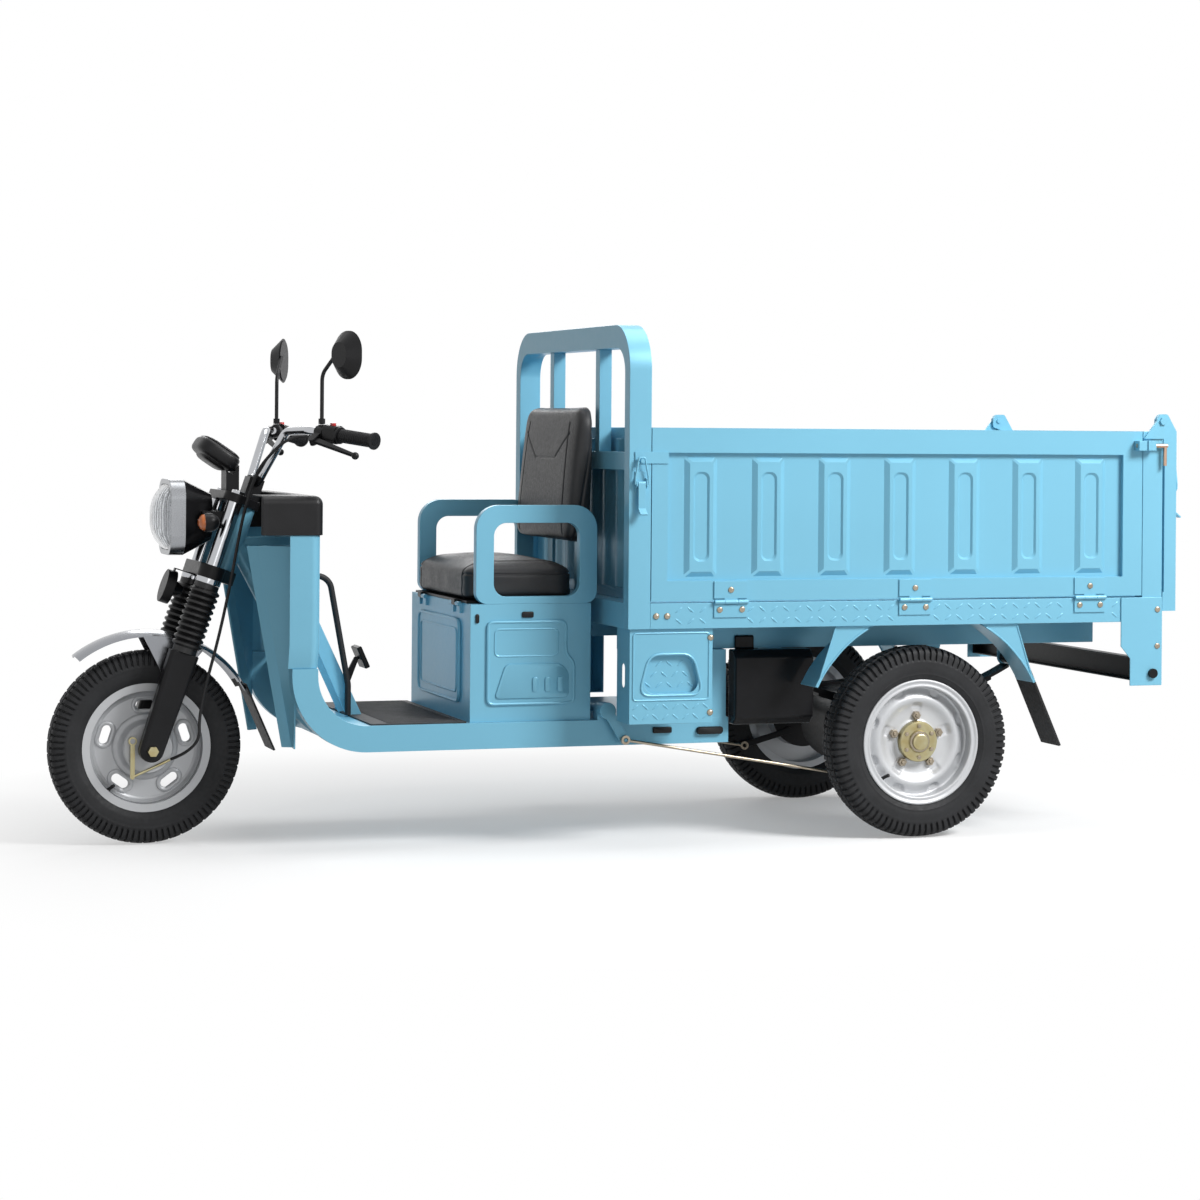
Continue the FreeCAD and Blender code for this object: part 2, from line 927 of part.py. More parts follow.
def front_brake_cam():
    pivot = cam_pivot()
    foot = pivot - upward * cam_arm
    half = cam_boss_radius
    boss = rod(pivot - across * cam_thickness, pivot, half)
    tip = rod(foot - across * cam_thickness, foot, half * bulge_share)
    width = half * bulge_share
    arm = block(pivot.x - width, pivot.x + width, pivot.y - cam_thickness, pivot.y, foot.z, pivot.z)
    lever = fused([boss, tip, arm])
    lever = lever.cut(rod(pivot - across * (cam_thickness + overrun), pivot + across * overrun,
                          cam_pivot_radius))
    start = foot - across * (cam_thickness / 2)
    end = start + FreeCAD.Vector(cam_rod_length, 0, cam_drop)
    save("front_brake_cam", [fused([lever, rod(start, end, cam_rod_radius)])])


def guard_section(radius):
    half = guard_width / 2
    low = radius - guard_crown
    centre = FreeCAD.Vector(front_axle_x, 0, front_tyre_radius)
    outer = [centre + FreeCAD.Vector(0, y, z) for y, z in ((-half, low), (0, radius), (half, low))]
    thin = guard_sheet
    inner = [centre + FreeCAD.Vector(0, y, z) for y, z in ((half, low - thin), (0, radius - thin),
                                                           (-half, low - thin))]
    edges = [Part.Arc(*outer).toShape(), Part.LineSegment(outer[2], inner[0]).toShape()]
    edges += [Part.Arc(*inner).toShape(), Part.LineSegment(inner[2], outer[0]).toShape()]
    return Part.Face(Part.Wire(edges))


def front_fender():
    centre = FreeCAD.Vector(front_axle_x, 0, front_tyre_radius)
    radius = front_tyre_radius + guard_gap + guard_crown
    section = guard_section(radius)
    section.rotate(centre, across, -guard_front)
    guard = section.revolve(centre, across, guard_front + guard_rear)
    low = radius - guard_crown - guard_sheet
    inner = fork_spread - leg_thickness / 2
    outer = guard_width / 2

    def around(angle, reach):
        turn = math.radians(angle)
        return centre.x + reach * math.sin(turn), centre.z + reach * math.cos(turn)

    points = [around(-stay_front, radius), around(stay_rear, radius)]
    points += [around(rake + stay_front, low - stay_drop), around(rake - stay_front, low - stay_drop)]
    stay = plate(points, 0, "side", outer - stay_thickness, stay_thickness)
    stay = stay.common(rod(centre, centre + across * outer, low + guard_sheet / 2))
    link = (stay_thickness + overrun)
    foot = around(rake, low - stay_drop + stay_drop / 4)
    boss = FreeCAD.Vector(foot[0], outer - link / 2, foot[1])
    stay = fused([stay, rod(boss, FreeCAD.Vector(foot[0], inner, foot[1]), link * 2)])
    end = around(guard_rear, radius - guard_crown)
    half = outer - guard_sheet
    lean = math.radians(flap_lean)
    lap = flap_thickness * 3
    flap = block(0, flap_thickness, -half, half, -flap_length, lap)
    flap.rotate(origin, across, -flap_lean)
    flap.translate(FreeCAD.Vector(end[0] + lap * math.sin(lean), 0, end[1]))
    swept = guard_section(radius)
    swept.rotate(centre, across, guard_rear - stay_rear)
    swept = swept.revolve(centre, across, stay_rear + stay_front)
    flap = flap.cut(swept)
    flap = max(flap.Solids, key=lambda solid: solid.Volume)
    save("front_fender", [fused([guard, stay, mirrored(stay)]), flap])


def bar_clamp():
    return raked_point(fork_offset, 0, bar_height)


def bar_points():
    clamp = bar_clamp()
    offsets = [
        (0, bar_straight, 0),
        (bar_bend_back, bar_bend_out, bar_bend_up),
        (bar_sweep_back, bar_sweep_out, bar_sweep_up),
        (bar_end_back, bar_end_out, bar_end_up),
    ]
    return [clamp + FreeCAD.Vector(*offset) for offset in offsets]


def grip_line():
    points = bar_points()
    return points[3], (points[2] - points[3]).normalize()


def handlebar():
    points = bar_points()
    left = [FreeCAD.Vector(p.x, -p.y, p.z) for p in reversed(points)]
    bar = bent_rod(left + points, bar_bend_radius, bar_radius)
    half_width = riser_width / 2
    half_depth = riser_depth / 2
    riser = block(fork_offset - half_depth, fork_offset + half_depth, -half_width, half_width,
                  riser_bottom, riser_bottom + riser_height)
    riser = raked(riser)
    line = bar_clamp()
    hole = rod(line - across * riser_width, line + across * riser_width, bar_radius + pin_fit)
    save("handlebar", [bar, riser.cut(hole)])


def grip_shape(fit):
    end, inward = grip_line()
    flange = end + inward * grip_flange_length
    grip = rod(end, end + inward * grip_length, grip_radius)
    ring = rod(end + inward * (grip_length - grip_flange_length), end + inward * grip_length, grip_flange)
    nose = rod(end, flange, grip_flange)
    grip = fused([grip, ring, nose])
    return grip.cut(rod(end - inward * overrun, end + inward * (grip_length + overrun), bar_radius + fit))


def lever_frame():
    end, inward = grip_line()
    start = end + inward * (grip_length + switch_length + perch_gap + perch_length / 2)
    forward = FreeCAD.Vector(-bar_end_back, 0, -bar_end_up)
    forward = (forward - inward * forward.dot(inward)).normalize()
    return start, inward * -1, forward


def cable_seat():
    start, out, forward = lever_frame()
    line = start + forward * (perch_radius + overrun) - out.cross(forward) * adjuster_radius
    return line - out * (perch_length / 2 + adjuster_length)


def perch():
    start, out, forward = lever_frame()
    half = perch_length / 2
    ring = rod(start - out * half, start + out * half, perch_radius)
    axis = out.cross(forward)
    pivot = start + forward * lever_stand
    wide = lever_boss
    gap = lever_thickness / 2 + run_gap
    ears = []
    for sign in (-1, 1):
        inner = pivot + axis * (sign * gap)
        ear = rod(inner, inner + axis * (sign * lever_pivot_radius), wide)
        strut = Part.makeBox(lever_stand, 2 * wide, lever_pivot_radius)
        strut.translate(FreeCAD.Vector(0, -wide, gap if sign > 0 else -gap - lever_pivot_radius))
        ears += [ear, framed(strut, start, forward, out * -1)]
    body = fused([ring] + ears)
    pin = rod(pivot - axis * gap, pivot + axis * gap, lever_pivot_radius - pin_fit)
    post = rod(start, start + upward * (perch_radius + mirror_lift), mirror_nut)
    seat = cable_seat()
    adjuster = rod(seat, seat + out * (adjuster_length + sheet), adjuster_radius)
    body = fused([body, pin, post, adjuster])
    return body.cut(rod(start - out * perch_length, start + out * perch_length, bar_radius + pin_fit))


def switch_box():
    end, inward = grip_line()
    start = end + inward * (grip_length + run_gap)
    points = rectangle(-switch_width / 2, switch_width / 2, -switch_height / 2, switch_height / 2)
    body = plate(points, bar_radius, "front", 0, switch_length - run_gap)
    back = along - inward * along.dot(inward)
    body = framed(body, start, inward, back.normalize())
    body = body.cut(rod(start - inward * overrun, start + inward * switch_length, bar_radius + pin_fit))
    seat, lift = button_place()
    return body.cut(rod(seat - lift * (button_sink + button_travel), seat + lift * overrun,
                        button_radius + pin_fit))


def button_place():
    end, inward = grip_line()
    middle = end + inward * (grip_length + switch_length / 2)
    back = (along - inward * along.dot(inward)).normalize()
    lift = inward.cross(back)
    if lift.z < 0:
        lift = lift * -1
    return middle + lift * (switch_height / 2), lift


def button():
    seat, lift = button_place()
    return rod(seat - lift * button_sink, seat + lift * button_height, button_radius)


def hand_controls():
    right = [perch(), switch_box()]
    left = [mirrored(shape) for shape in right]
    save("hand_controls", right + left + [mirrored(grip_shape(pin_fit))])
    save("throttle_grip", [grip_shape(pin_fit)])
    save("start_button", [button()])
    save("horn_button", [mirrored(button())])


def brake_lever():
    start, out, forward = lever_frame()
    half = lever_width / 2
    tip = lever_length
    points = [(0, -half), (lever_boss * 2, -half), (tip, lever_kick - half), (tip, lever_kick),
              (lever_boss * 2, half),
              (0, half)]
    thin = lever_thickness / 2
    blade = plate(points, 0, "top", -thin, lever_thickness)
    boss = rod(upward * -thin, upward * thin, lever_boss)
    ball = Part.makeSphere(lever_ball, FreeCAD.Vector(tip, lever_kick - half / 2, 0))
    lever = fused([blade, boss, ball])
    lever = lever.cut(rod(upward * -lever_boss, upward * lever_boss, lever_pivot_radius))
    lever = framed(lever, start + forward * lever_stand, out, forward)
    save("brake_lever_right", [lever])
    save("brake_lever_left", [mirrored(lever)])


def mirror_base():
    start = lever_frame()[0]
    return start + upward * (perch_radius + mirror_lift + run_gap / 2)


def mirror():
    base = mirror_base()
    top = base + upward * mirror_rise
    end = top + FreeCAD.Vector(mirror_reach_back, mirror_reach_out, mirror_reach_up)
    stem = bent_rod([base, top, end], bar_bend_radius, mirror_stem_radius)
    nut = hexagon(base + upward * run_gap, upward, mirror_nut, mirror_nut_height)
    stem = fused([stem, nut])
    low = -mirror_height / 2
    high = mirror_height / 2
    side = mirror_width / 2
    points = rectangle(-side, side, low, high)
    corners = mirror_round
    face = flat(points, corners, "front", 0)
    share = [(a * bulge_share, b * bulge_share) for a, b in points]
    back = flat(share, corners * bulge_share, "front", -mirror_depth)
    shell = Part.makeLoft([back.OuterWire, face.OuterWire], True)
    centre = end + FreeCAD.Vector(mirror_depth / 2, mirror_out, mirror_up - high)
    inner = [(a * shoulder_share, b * shoulder_share) for a, b in points]
    glass = plate(inner, corners * shoulder_share, "front", 0, mirror_glass)
    for shape in (shell, glass):
        shape.rotate(origin, upward, -mirror_yaw)
        shape.translate(centre)
    stem = stem.cut(shell)
    stem = max(stem.Solids, key=lambda solid: solid.Volume)
    save("mirror_right", [stem, shell, glass])
    save("mirror_left", [mirrored(shape) for shape in (stem, shell, glass)])


def light_outline(share, place):
    half = light_width / 2 * share
    high = light_height / 2 * share
    return flat(rectangle(-half, half, -high, high), light_corner * share, "front", place)


def headlight():
    head = raked_point(fork_offset, 0, head_bottom + head_length / 2)
    front = head.x - light_ahead
    middle = head.z + light_rise
    shift = FreeCAD.Vector(front, 0, middle)
    shell = Part.makeLoft([light_outline(light_back_share, light_depth).OuterWire,
                           light_outline(1, 0).OuterWire], True)
    rim_share = 1 - 2 * bezel_rim / light_width
    bezel = light_outline(1, -bezel_depth).extrude(along * bezel_depth)
    bezel = bezel.cut(light_outline(rim_share,
                                    -bezel_depth - overrun).extrude(along * (bezel_depth + 2 * overrun)))
    lens = light_outline(rim_share, -bezel_depth).extrude(along * (bezel_depth - lens_edge))
    dome = Part.makeLoft([light_outline(rim_share, -bezel_depth).OuterWire,
                          light_outline(rim_share * lens_front_share,
                                        -bezel_depth - lens_bulge).OuterWire], True)
    lens = fused([lens, dome])
    post = light_width / 2 * light_back_share
    arm = block(light_depth - light_arm, light_depth + light_arm, post / 2, fork_spread, -light_arm / 2,
                light_arm / 2)
    shapes = [shell, arm, mirrored(arm)]
    moved = []
    for shape in shapes + [bezel, lens]:
        copy = shape.copy()
        copy.translate(shift)
        moved.append(copy)
    body = fused(moved[:3])
    foot = FreeCAD.Vector(0, fork_spread, leg_top)
    leg = raked(rod(foot, foot + upward * (riser_bottom - leg_top), fork_tube_radius + pin_fit))
    body = body.cut(leg).cut(mirrored(leg))
    save("headlight_housing", [body, moved[3]])
    save("headlight_lens", [moved[4]])
    level = middle + indicator_rise
    base_x = front + light_depth - indicator_stalk * 3
    seat = FreeCAD.Vector(base_x + indicator_stalk * 2, post / 2, level)
    end = FreeCAD.Vector(base_x + indicator_stalk * 2, indicator_out, level)
    middle_y = FreeCAD.Vector(base_x, indicator_out, level)
    slim = indicator_radius * bulge_share
    cup = taper(middle_y, middle_y + along * indicator_body, indicator_radius, slim)
    dome = taper(middle_y - along * indicator_lens, middle_y, slim, indicator_radius)
    stalk = fused([rod(seat, end, indicator_stalk), cup]).cut(body)
    stalk = max(stalk.Solids, key=lambda solid: solid.Volume)
    save("turn_signals", pair(stalk) + pair(dome))


def instrument_cluster():
    half = cluster_width / 2
    points = [(0, 0), (cluster_depth, 0), (cluster_depth, cluster_height - cluster_bevel),
              (cluster_depth - cluster_bevel, cluster_height), (cluster_bevel, cluster_height),
              (0, cluster_height - cluster_bevel)]
    body = plate(points, 0, "side", -half, cluster_width)
    body = body.makeChamfer(cluster_bevel / 2,
                            [edge for edge in body.Edges if edge.Length > cluster_width / 2][:2])
    body.rotate(origin, across, cluster_tilt)
    clamp = bar_clamp()
    body.translate(FreeCAD.Vector(clamp.x - cluster_ahead, 0, clamp.z + cluster_rise))
    foot = raked_point(0, 0, riser_bottom)
    arm = block(foot.x - light_arm / 2, foot.x + light_arm / 2, -light_arm, light_arm, foot.z - overrun,
                clamp.z + cluster_rise)
    yoke = raked(yoke_body(upper_yoke, upper_yoke_height))
    arm = arm.cut(yoke).cut(body)
    arm = max(arm.Solids, key=lambda solid: solid.Volume)
    save("instrument_cluster", [body, arm])


def front_brake_cable():
    out, forward = lever_frame()[1:]
    first = cable_seat()
    away = first - out * cable_bend
    fall = away - out * cable_bend + forward * (cable_gap * 3)
    first, away, fall = [FreeCAD.Vector(point.x, -point.y, point.z) for point in (first, away, fall)]
    side = -(fork_spread + leg_thickness / 2 + cable_gap)
    leave = raked_point(fork_offset - cable_bend, side - cable_radius, bar_height)
    high = raked_point(cable_back, side, leg_top + front_travel * 2)
    low = raked_point(leg_depth_top, side, leg_top / 2)
    cam = cam_pivot() - upward * cam_arm
    line = FreeCAD.Vector(cam_rod_length, 0, cam_drop)
    tail = cam - across * (cam_thickness / 2) + line + line.normalize() * cable_radius
    turn = FreeCAD.Vector(tail.x + cable_back, side, tail.z + cable_bend)
    route = [first, away, fall, leave, high, low, turn, tail]
    save("front_brake_cable", [bent_rod(route, cable_bend, cable_radius)])


# Cab
def sill():
    rear = ahead(sill_end)
    front = ahead(column_front)
    points = [(rear, sill_bottom), (rear, sill_top), (front + sill_height, sill_top),
              (front + sill_height, shield_bottom),
              (front, shield_bottom), (front, sill_bottom)]
    radii = [0, 0, sill_bend, 0, 0, sill_bend + sill_height]
    tube = plate(points, radii, "side", -cab_half, sill_width)
    plug = block(rear, rear + plug_depth, -cab_half, -sill_inner, sill_bottom, sill_top)
    return tube, plug


def floor_frame():
    tube, plug = sill()
    shapes = pair(tube) + pair(plug)
    plate_bottom = sill_top - sheet
    for place in cross_places:
        x = ahead(place)
        shapes.append(box_tube(x - cross_width / 2, x + cross_width / 2, -sill_inner, sill_inner,
                               plate_bottom - cross_height, plate_bottom, 1))
    first = ahead(column_front) + sill_height + sill_bend
    shapes.append(block(first, ahead(sill_end), -sill_inner, sill_inner, plate_bottom, sill_top))
    centre = FreeCAD.Vector(first, -sill_inner, sill_top + sill_bend)
    toe = rod(centre, centre + across * (2 * sill_inner), sill_bend + sheet)
    toe = toe.cut(rod(centre - across * overrun, centre + across * (2 * sill_inner + overrun), sill_bend))
    keep = block(first - sill_bend * 2, first, -sill_inner, sill_inner, sill_top - sheet,
                 sill_top + sill_bend)
    shapes.append(toe.common(keep))
    foot = ahead(sill_end) - riser_post
    riser = block(foot, ahead(sill_end), -cab_half, -sill_inner, sill_top, rail_bottom)
    shapes += pair(riser)
    wall = ahead(shield_rear)
    floor = ahead(brace_foot)
    points = [(wall, brace_top), (wall, brace_top - brace_depth * 2), (floor - brace_depth, sill_top),
              (floor, sill_top)]
    for side in (-1, 1):
        shapes.append(plate(points, 0, "side", side * brace_side - brace_thickness / 2, brace_thickness))
    save("floor_frame", shapes + [pedal_lugs()] + bearing_blocks())
    edge = cab_half - mat_margin
    mat = block(first + mat_margin, ahead(seat_front) - mat_margin, -edge, edge, sill_top,
                sill_top + mat_thickness)
    hole = brace_thickness / 2 + run_gap
    for side in (-1, 1):
        mat = mat.cut(block(first, floor + run_gap, side * brace_side - hole, side * brace_side + hole,
                            sill_top - overrun, sill_top + mat_thickness + overrun))
    lug = pedal_side
    wide = pedal_boss + run_gap + pedal_lug_thickness + pedal_arm_thickness
    pivot = ahead(pedal_pivot_x)
    mat = mat.cut(block(pivot - pedal_boss - run_gap, pivot + pedal_boss + run_gap, lug - wide, lug + wide,
                        sill_top - overrun, sill_top + mat_thickness + overrun))
    save("floor_mat", [mat])


def head_tube_frame():
    foot = FreeCAD.Vector(fork_offset, 0, head_bottom)
    head = rod(foot, foot + upward * head_length, head_radius)
    head = raked(head)
    bore = raked(rod(foot - upward * overrun, foot + upward * (head_length + overrun),
                     stem_radius + pin_fit))
    top = raked_point(fork_offset, 0, head_bottom + down_drop)
    cross = ahead(cross_places[0]) - cross_width / 2
    points = [
        top,
        FreeCAD.Vector(ahead(down_knee_x), 0, down_knee_z),
        FreeCAD.Vector(ahead(down_foot_x), 0, down_foot_z),
        FreeCAD.Vector(cross, 0, sill_top - sheet - cross_height / 2),
    ]
    tube = bent_rod(points, down_bend, down_tube_radius)
    wall = block(cross, cross + cross_width, -sill_inner, sill_inner, sill_bottom, sill_top)
    frame = fused([head, tube]).cut(bore).cut(wall)
    gusset_x = raked_point(fork_offset, 0, head_top - down_drop)
    strut = block(gusset_x.x, ahead(shield_rear) - wing_sheet, -down_tube_radius / 2, down_tube_radius / 2,
                  gusset_x.z - down_tube_radius, gusset_x.z)
    frame = fused([frame, strut.cut(bore)])
    save("head_tube_frame", [frame])


def shield_shell(half, tuck, x_front, x_rear, bottom, top, skin, bevel):
    points = [(-half + tuck, bottom), (half - tuck, bottom), (half, bottom + bevel), (half, top),
              (-half, top),
              (-half, bottom + bevel)]
    solid = plate(points, 0, "front", x_front, x_rear - x_front)
    rear_edges = []
    for edge in solid.Edges:
        box = edge.BoundBox
        at_rear = abs(box.XMin - x_rear) < pin_fit and abs(box.XMax - x_rear) < pin_fit
        if at_rear and box.ZLength > box.YLength:
            rear_edges.append(edge)
    solid = solid.makeFillet(shield_corner, rear_edges)
    inner = half - skin
    points = [(-inner + tuck, bottom - overrun), (inner - tuck, bottom - overrun), (inner, bottom + bevel),
              (inner, top + overrun), (-inner, top + overrun), (-inner, bottom + bevel)]
    core = plate(points, 0, "front", x_front - overrun, x_rear - x_front - skin + overrun)
    back_edges = []
    for edge in core.Edges:
        box = edge.BoundBox
        if abs(box.XMin - x_rear + skin) < pin_fit and box.XLength < pin_fit and box.ZLength > box.YLength:
            back_edges.append(edge)
    core = core.makeFillet(shield_corner - skin, back_edges)
    return solid.cut(core)


def leg_shield():
    front = ahead(shield_front)
    rear = ahead(shield_rear)
    shell = shield_shell(shield_half, shield_tuck, front, rear, shield_bottom, shield_top, wing_sheet,
                         shield_bevel)
    reach = sill_inner
    rear_x = ahead(column_front) + wing_rear_gap

    def section(front_x, inner, level):
        lip = front_x + wing_lip
        a = [(front_x, inner), (lip, inner + wing_lip / 2), (rear_x, reach), (rear_x + wing_sheet, reach)]
        b = [(lip + wing_sheet, inner + wing_lip / 2 - wing_sheet / 2),
             (front_x + wing_sheet, inner - wing_sheet)]
        points = [FreeCAD.Vector(x, -y, level) for x, y in a + b]
        return Part.makePolygon(points + points[:1])

    low = section(ahead(wing_bottom_front), wing_bottom_inner, wing_bottom)
    high = section(ahead(wing_top_front), wing_top_inner, wing_top)
    wing = Part.makeLoft([low, high], True, True)
    save("leg_shield", [shell] + pair(wing))


def shield_cap():
    over = cap_overhang
    front = ahead(shield_front) - cap_visor
    rear = ahead(shield_rear) + over
    half = shield_half + over
    solid = block(front, rear, -half, half, shield_top, cap_top)
    picks = []
    for edge in solid.Edges:
        box = edge.BoundBox
        upper = box.ZMin > cap_top - pin_fit and box.XLength < pin_fit and box.XMin > rear - pin_fit
        sides = box.ZMin > cap_top - pin_fit and box.YLength < pin_fit
        corners = box.ZLength > pin_fit and box.XMin > rear - pin_fit
        if upper or sides or corners:
            picks.append(edge)
    solid = solid.makeFillet(cap_round, picks)
    core = block(front - overrun, rear - cap_skin - cap_round, -half + cap_skin + cap_round,
                 half - cap_skin - cap_round,
                 shield_top - overrun, cap_top - cap_skin)
    notch = plate(rectangle(front - cap_notch_depth, front + cap_notch_depth, -cap_notch, cap_notch),
                  cap_round, "top",
                  shield_top - overrun, cap_top - shield_top + 2 * overrun)
    save("shield_cap", [solid.cut(core).cut(notch)])


def wiring_loom():
    wall = ahead(shield_rear)
    floor = ahead(brace_foot)
    side = -brace_side - brace_thickness - loom_radius - run_gap
    start = FreeCAD.Vector(wall, side, brace_top)
    out = FreeCAD.Vector(wall + loom_bend * 2, side, brace_top)
    down = FreeCAD.Vector(floor - brace_depth, side, sill_top + mat_thickness + loom_bend * 2)
    end = FreeCAD.Vector(floor - brace_depth, side, sill_top + mat_thickness)
    loom = bent_rod([start, out, down, end], loom_bend, loom_radius)
    back = wall - wing_sheet
    relay = block(back - relay_width, back, side - relay_length, side, brace_top - relay_height, brace_top)
    save("wiring_loom", [loom, relay])


def brake_pedal():
    x = ahead(pedal_pivot_x)
    pivot = FreeCAD.Vector(x, pedal_side, pedal_pivot_z)
    thin = pedal_arm_thickness / 2
    boss = rod(pivot - across * thin, pivot + across * thin, pedal_boss)
    half = pedal_arm_depth / 2
    top = FreeCAD.Vector(x + pedal_back, pedal_side, pedal_pivot_z + pedal_rise)
    points = [(x - half, pivot.z), (x + half, pivot.z), (top.x, top.z), (top.x - half, top.z)]
    arm = plate(points, 0, "side", pedal_side - thin, pedal_arm_thickness)
    wide = pedal_pad_width / 2
    long = pedal_pad_length / 2
    pad = block(-pedal_pad_thickness / 2, pedal_pad_thickness / 2, -wide, wide, -long, long)
    pad = pad.makeFillet(pedal_pad_thickness / 4, pad.Edges)
    pad.rotate(origin, across, -flap_lean)
    pad.translate(FreeCAD.Vector(top.x + pedal_pad_thickness / 4, pedal_side, top.z))
    pedal = fused([boss, arm, pad])
    pedal = pedal.cut(rod(pivot - across * pedal_boss, pivot + across * pedal_boss, pedal_pin))
    save("brake_pedal", [pedal])


def pedal_lugs():
    x = ahead(pedal_pivot_x)
    shapes = []
    gap = pedal_arm_thickness / 2 + run_gap
    for sign in (-1, 1):
        inner = pedal_side + sign * gap
        outer = inner + sign * pedal_lug_thickness
        low = min(inner, outer)
        points = rectangle(x - pedal_boss, x + pedal_boss, sill_top, pedal_pivot_z + pedal_boss)
        tip = pedal_boss - pin_fit
        shapes.append(plate(points, [0, 0, tip, tip], "side", low, pedal_lug_thickness))
    reach = gap + pedal_lug_thickness
    centre = FreeCAD.Vector(x, pedal_side, pedal_pivot_z)
    shapes.append(rod(centre - across * reach, centre + across * reach, pedal_pin - pin_fit))
    return fused(shapes)


def shaft_centre():
    return FreeCAD.Vector(ahead(shaft_x), 0, sill_top + shaft_rise)


def bearing_blocks():
    centre = shaft_centre()
    shapes = []
    for side in (-1, 1):
        low = sill_inner if side > 0 else -cab_half
        points = rectangle(centre.x - bearing_half, centre.x + bearing_half, sill_top,
                           centre.z + bearing_half)
        tip = bearing_half - pin_fit
        piece = plate(points, [0, 0, tip, tip], "side", low, sill_width)
        line = FreeCAD.Vector(centre.x, low - overrun, centre.z)
        shapes.append(piece.cut(rod(line, line + across * (sill_width + 2 * overrun),
                                    shaft_radius + pin_fit)))
    return shapes


def crank_pin():
    centre = shaft_centre()
    return FreeCAD.Vector(centre.x + crank_back, shaft_reach, centre.z - crank_drop)


def brake_crank():
    centre = shaft_centre()
    reach = across * shaft_reach
    shaft = rod(centre - reach, centre + reach, shaft_radius)
    hub = rod(centre + reach - across * crank_hub_width, centre + reach, crank_hub)
    pin = crank_pin()
    inward = across * crank_thickness
    foot = FreeCAD.Vector(centre.x, shaft_reach, centre.z)
    side = (pin - foot).normalize()
    over = FreeCAD.Vector(-side.z, 0, side.x) * crank_eye
    corners = [foot + over, foot - over, pin - over, pin + over]
    arm = Part.Face(Part.makePolygon(corners + corners[:1])).extrude(inward * -1)
    eye = rod(pin - inward, pin, crank_eye)
    stub = rod(pin - inward, pin + across * (rod_side_gap + rod_thickness), rod_pin_radius)
    crank = fused([hub, arm, eye, stub])
    save("brake_crank", [fused([shaft, crank, mirrored(crank)])])


def rod_end():
    return FreeCAD.Vector(ahead(rod_rear_x), rod_rear_y, rod_rear_z)


def brake_rods():
    pin = crank_pin()
    end = rod_end()
    start = pin + across * (rod_side_gap + rod_thickness / 2)
    half = across * (rod_thickness / 2)
    shapes = [rod(start, end, rod_radius), rod(start - half, start + half, rod_eye),
              rod(end - half, end + half, rod_eye)]
    link = fused(shapes)
    for place in (start, end):
        link = link.cut(rod(place - half * 2, place + half * 2, rod_pin_radius + run_gap))
    save("brake_rods", pair(link))


# Seat
def seat_box():
    front = ahead(seat_front)
    rear = ahead(seat_rear)
    shell = block(front, rear, -seat_half, seat_half, sill_top, seat_top)
    core = block(front + seat_wall, rear - seat_wall, -seat_half + seat_wall, seat_half - seat_wall,
                 sill_top - overrun, seat_top - seat_wall)
    mouth = block(front + seat_flange, rear - seat_flange, -seat_half + seat_flange,
                  seat_half - seat_flange,
                  seat_top - 2 * seat_wall, seat_top + overrun)
    shell = shell.cut(core).cut(mouth)
    margin = emboss_margin
    low = sill_top + margin
    high = seat_top - margin
    pad = plate(rectangle(-seat_half + margin * 2, seat_half - margin * 2, low, high), emboss_corner,
                "front",
                front - emboss, emboss)
    left = front + margin
    right = rear - margin
    middle = (low + high) / 2
    step = margin / 2
    points = [(left, low), (right, low), (right, middle), (right - step, middle + step),
              (right - step, high),
              (left, high)]
    radii = [emboss_corner / 2] * len(points)
    badge = plate(points, radii, "side", -seat_half - emboss, emboss)
    barrels = []
    x, z = seat_hinge_line()
    for side in (-1, 1):
        y = side * seat_hinge_side
        for share in (-1, 1):
            inner = y + share * (seat_hinge_length / 6 + run_gap)
            outer = y + share * seat_hinge_length / 2
            barrel = rod(FreeCAD.Vector(x, inner, z), FreeCAD.Vector(x, outer, z), seat_hinge_radius)
            leaf = block(x, front, min(inner, outer), max(inner, outer), z - seat_hinge_radius * 4, z)
            barrels += [barrel, leaf]
        reach = across * (seat_hinge_length / 2)
        middle = FreeCAD.Vector(x, y, z)
        barrels.append(rod(middle - reach, middle + reach, seat_hinge_pin))
    save("seat_box", [fused([shell, pad, badge, mirrored(badge)] + barrels)])


def seat_hinge_line():
    return ahead(seat_front) - seat_hinge_radius - pan_gap, seat_top - seat_hinge_radius / 2


def pillow(half_x, half_y, corner_radius, height, draw, edge, crown):
    levels = [
        (draw, 0, corner_radius),
        (0, edge, corner_radius),
        (draw / 3, height / 2, corner_radius),
        (0, height - edge, corner_radius),
        (edge / 2, height - edge / 3, corner_radius),
        (edge * 2, height + crown / 2, corner_radius / 2),
        (edge * 5, height + crown, corner_radius / 2),
    ]
    wires = []
    for inset, level, radius in levels:
        x = half_x - inset
        y = half_y - inset
        wires.append(flat(rectangle(-x, x, -y, y), radius, "top", level).OuterWire)
    return Part.makeLoft(wires, True, False)


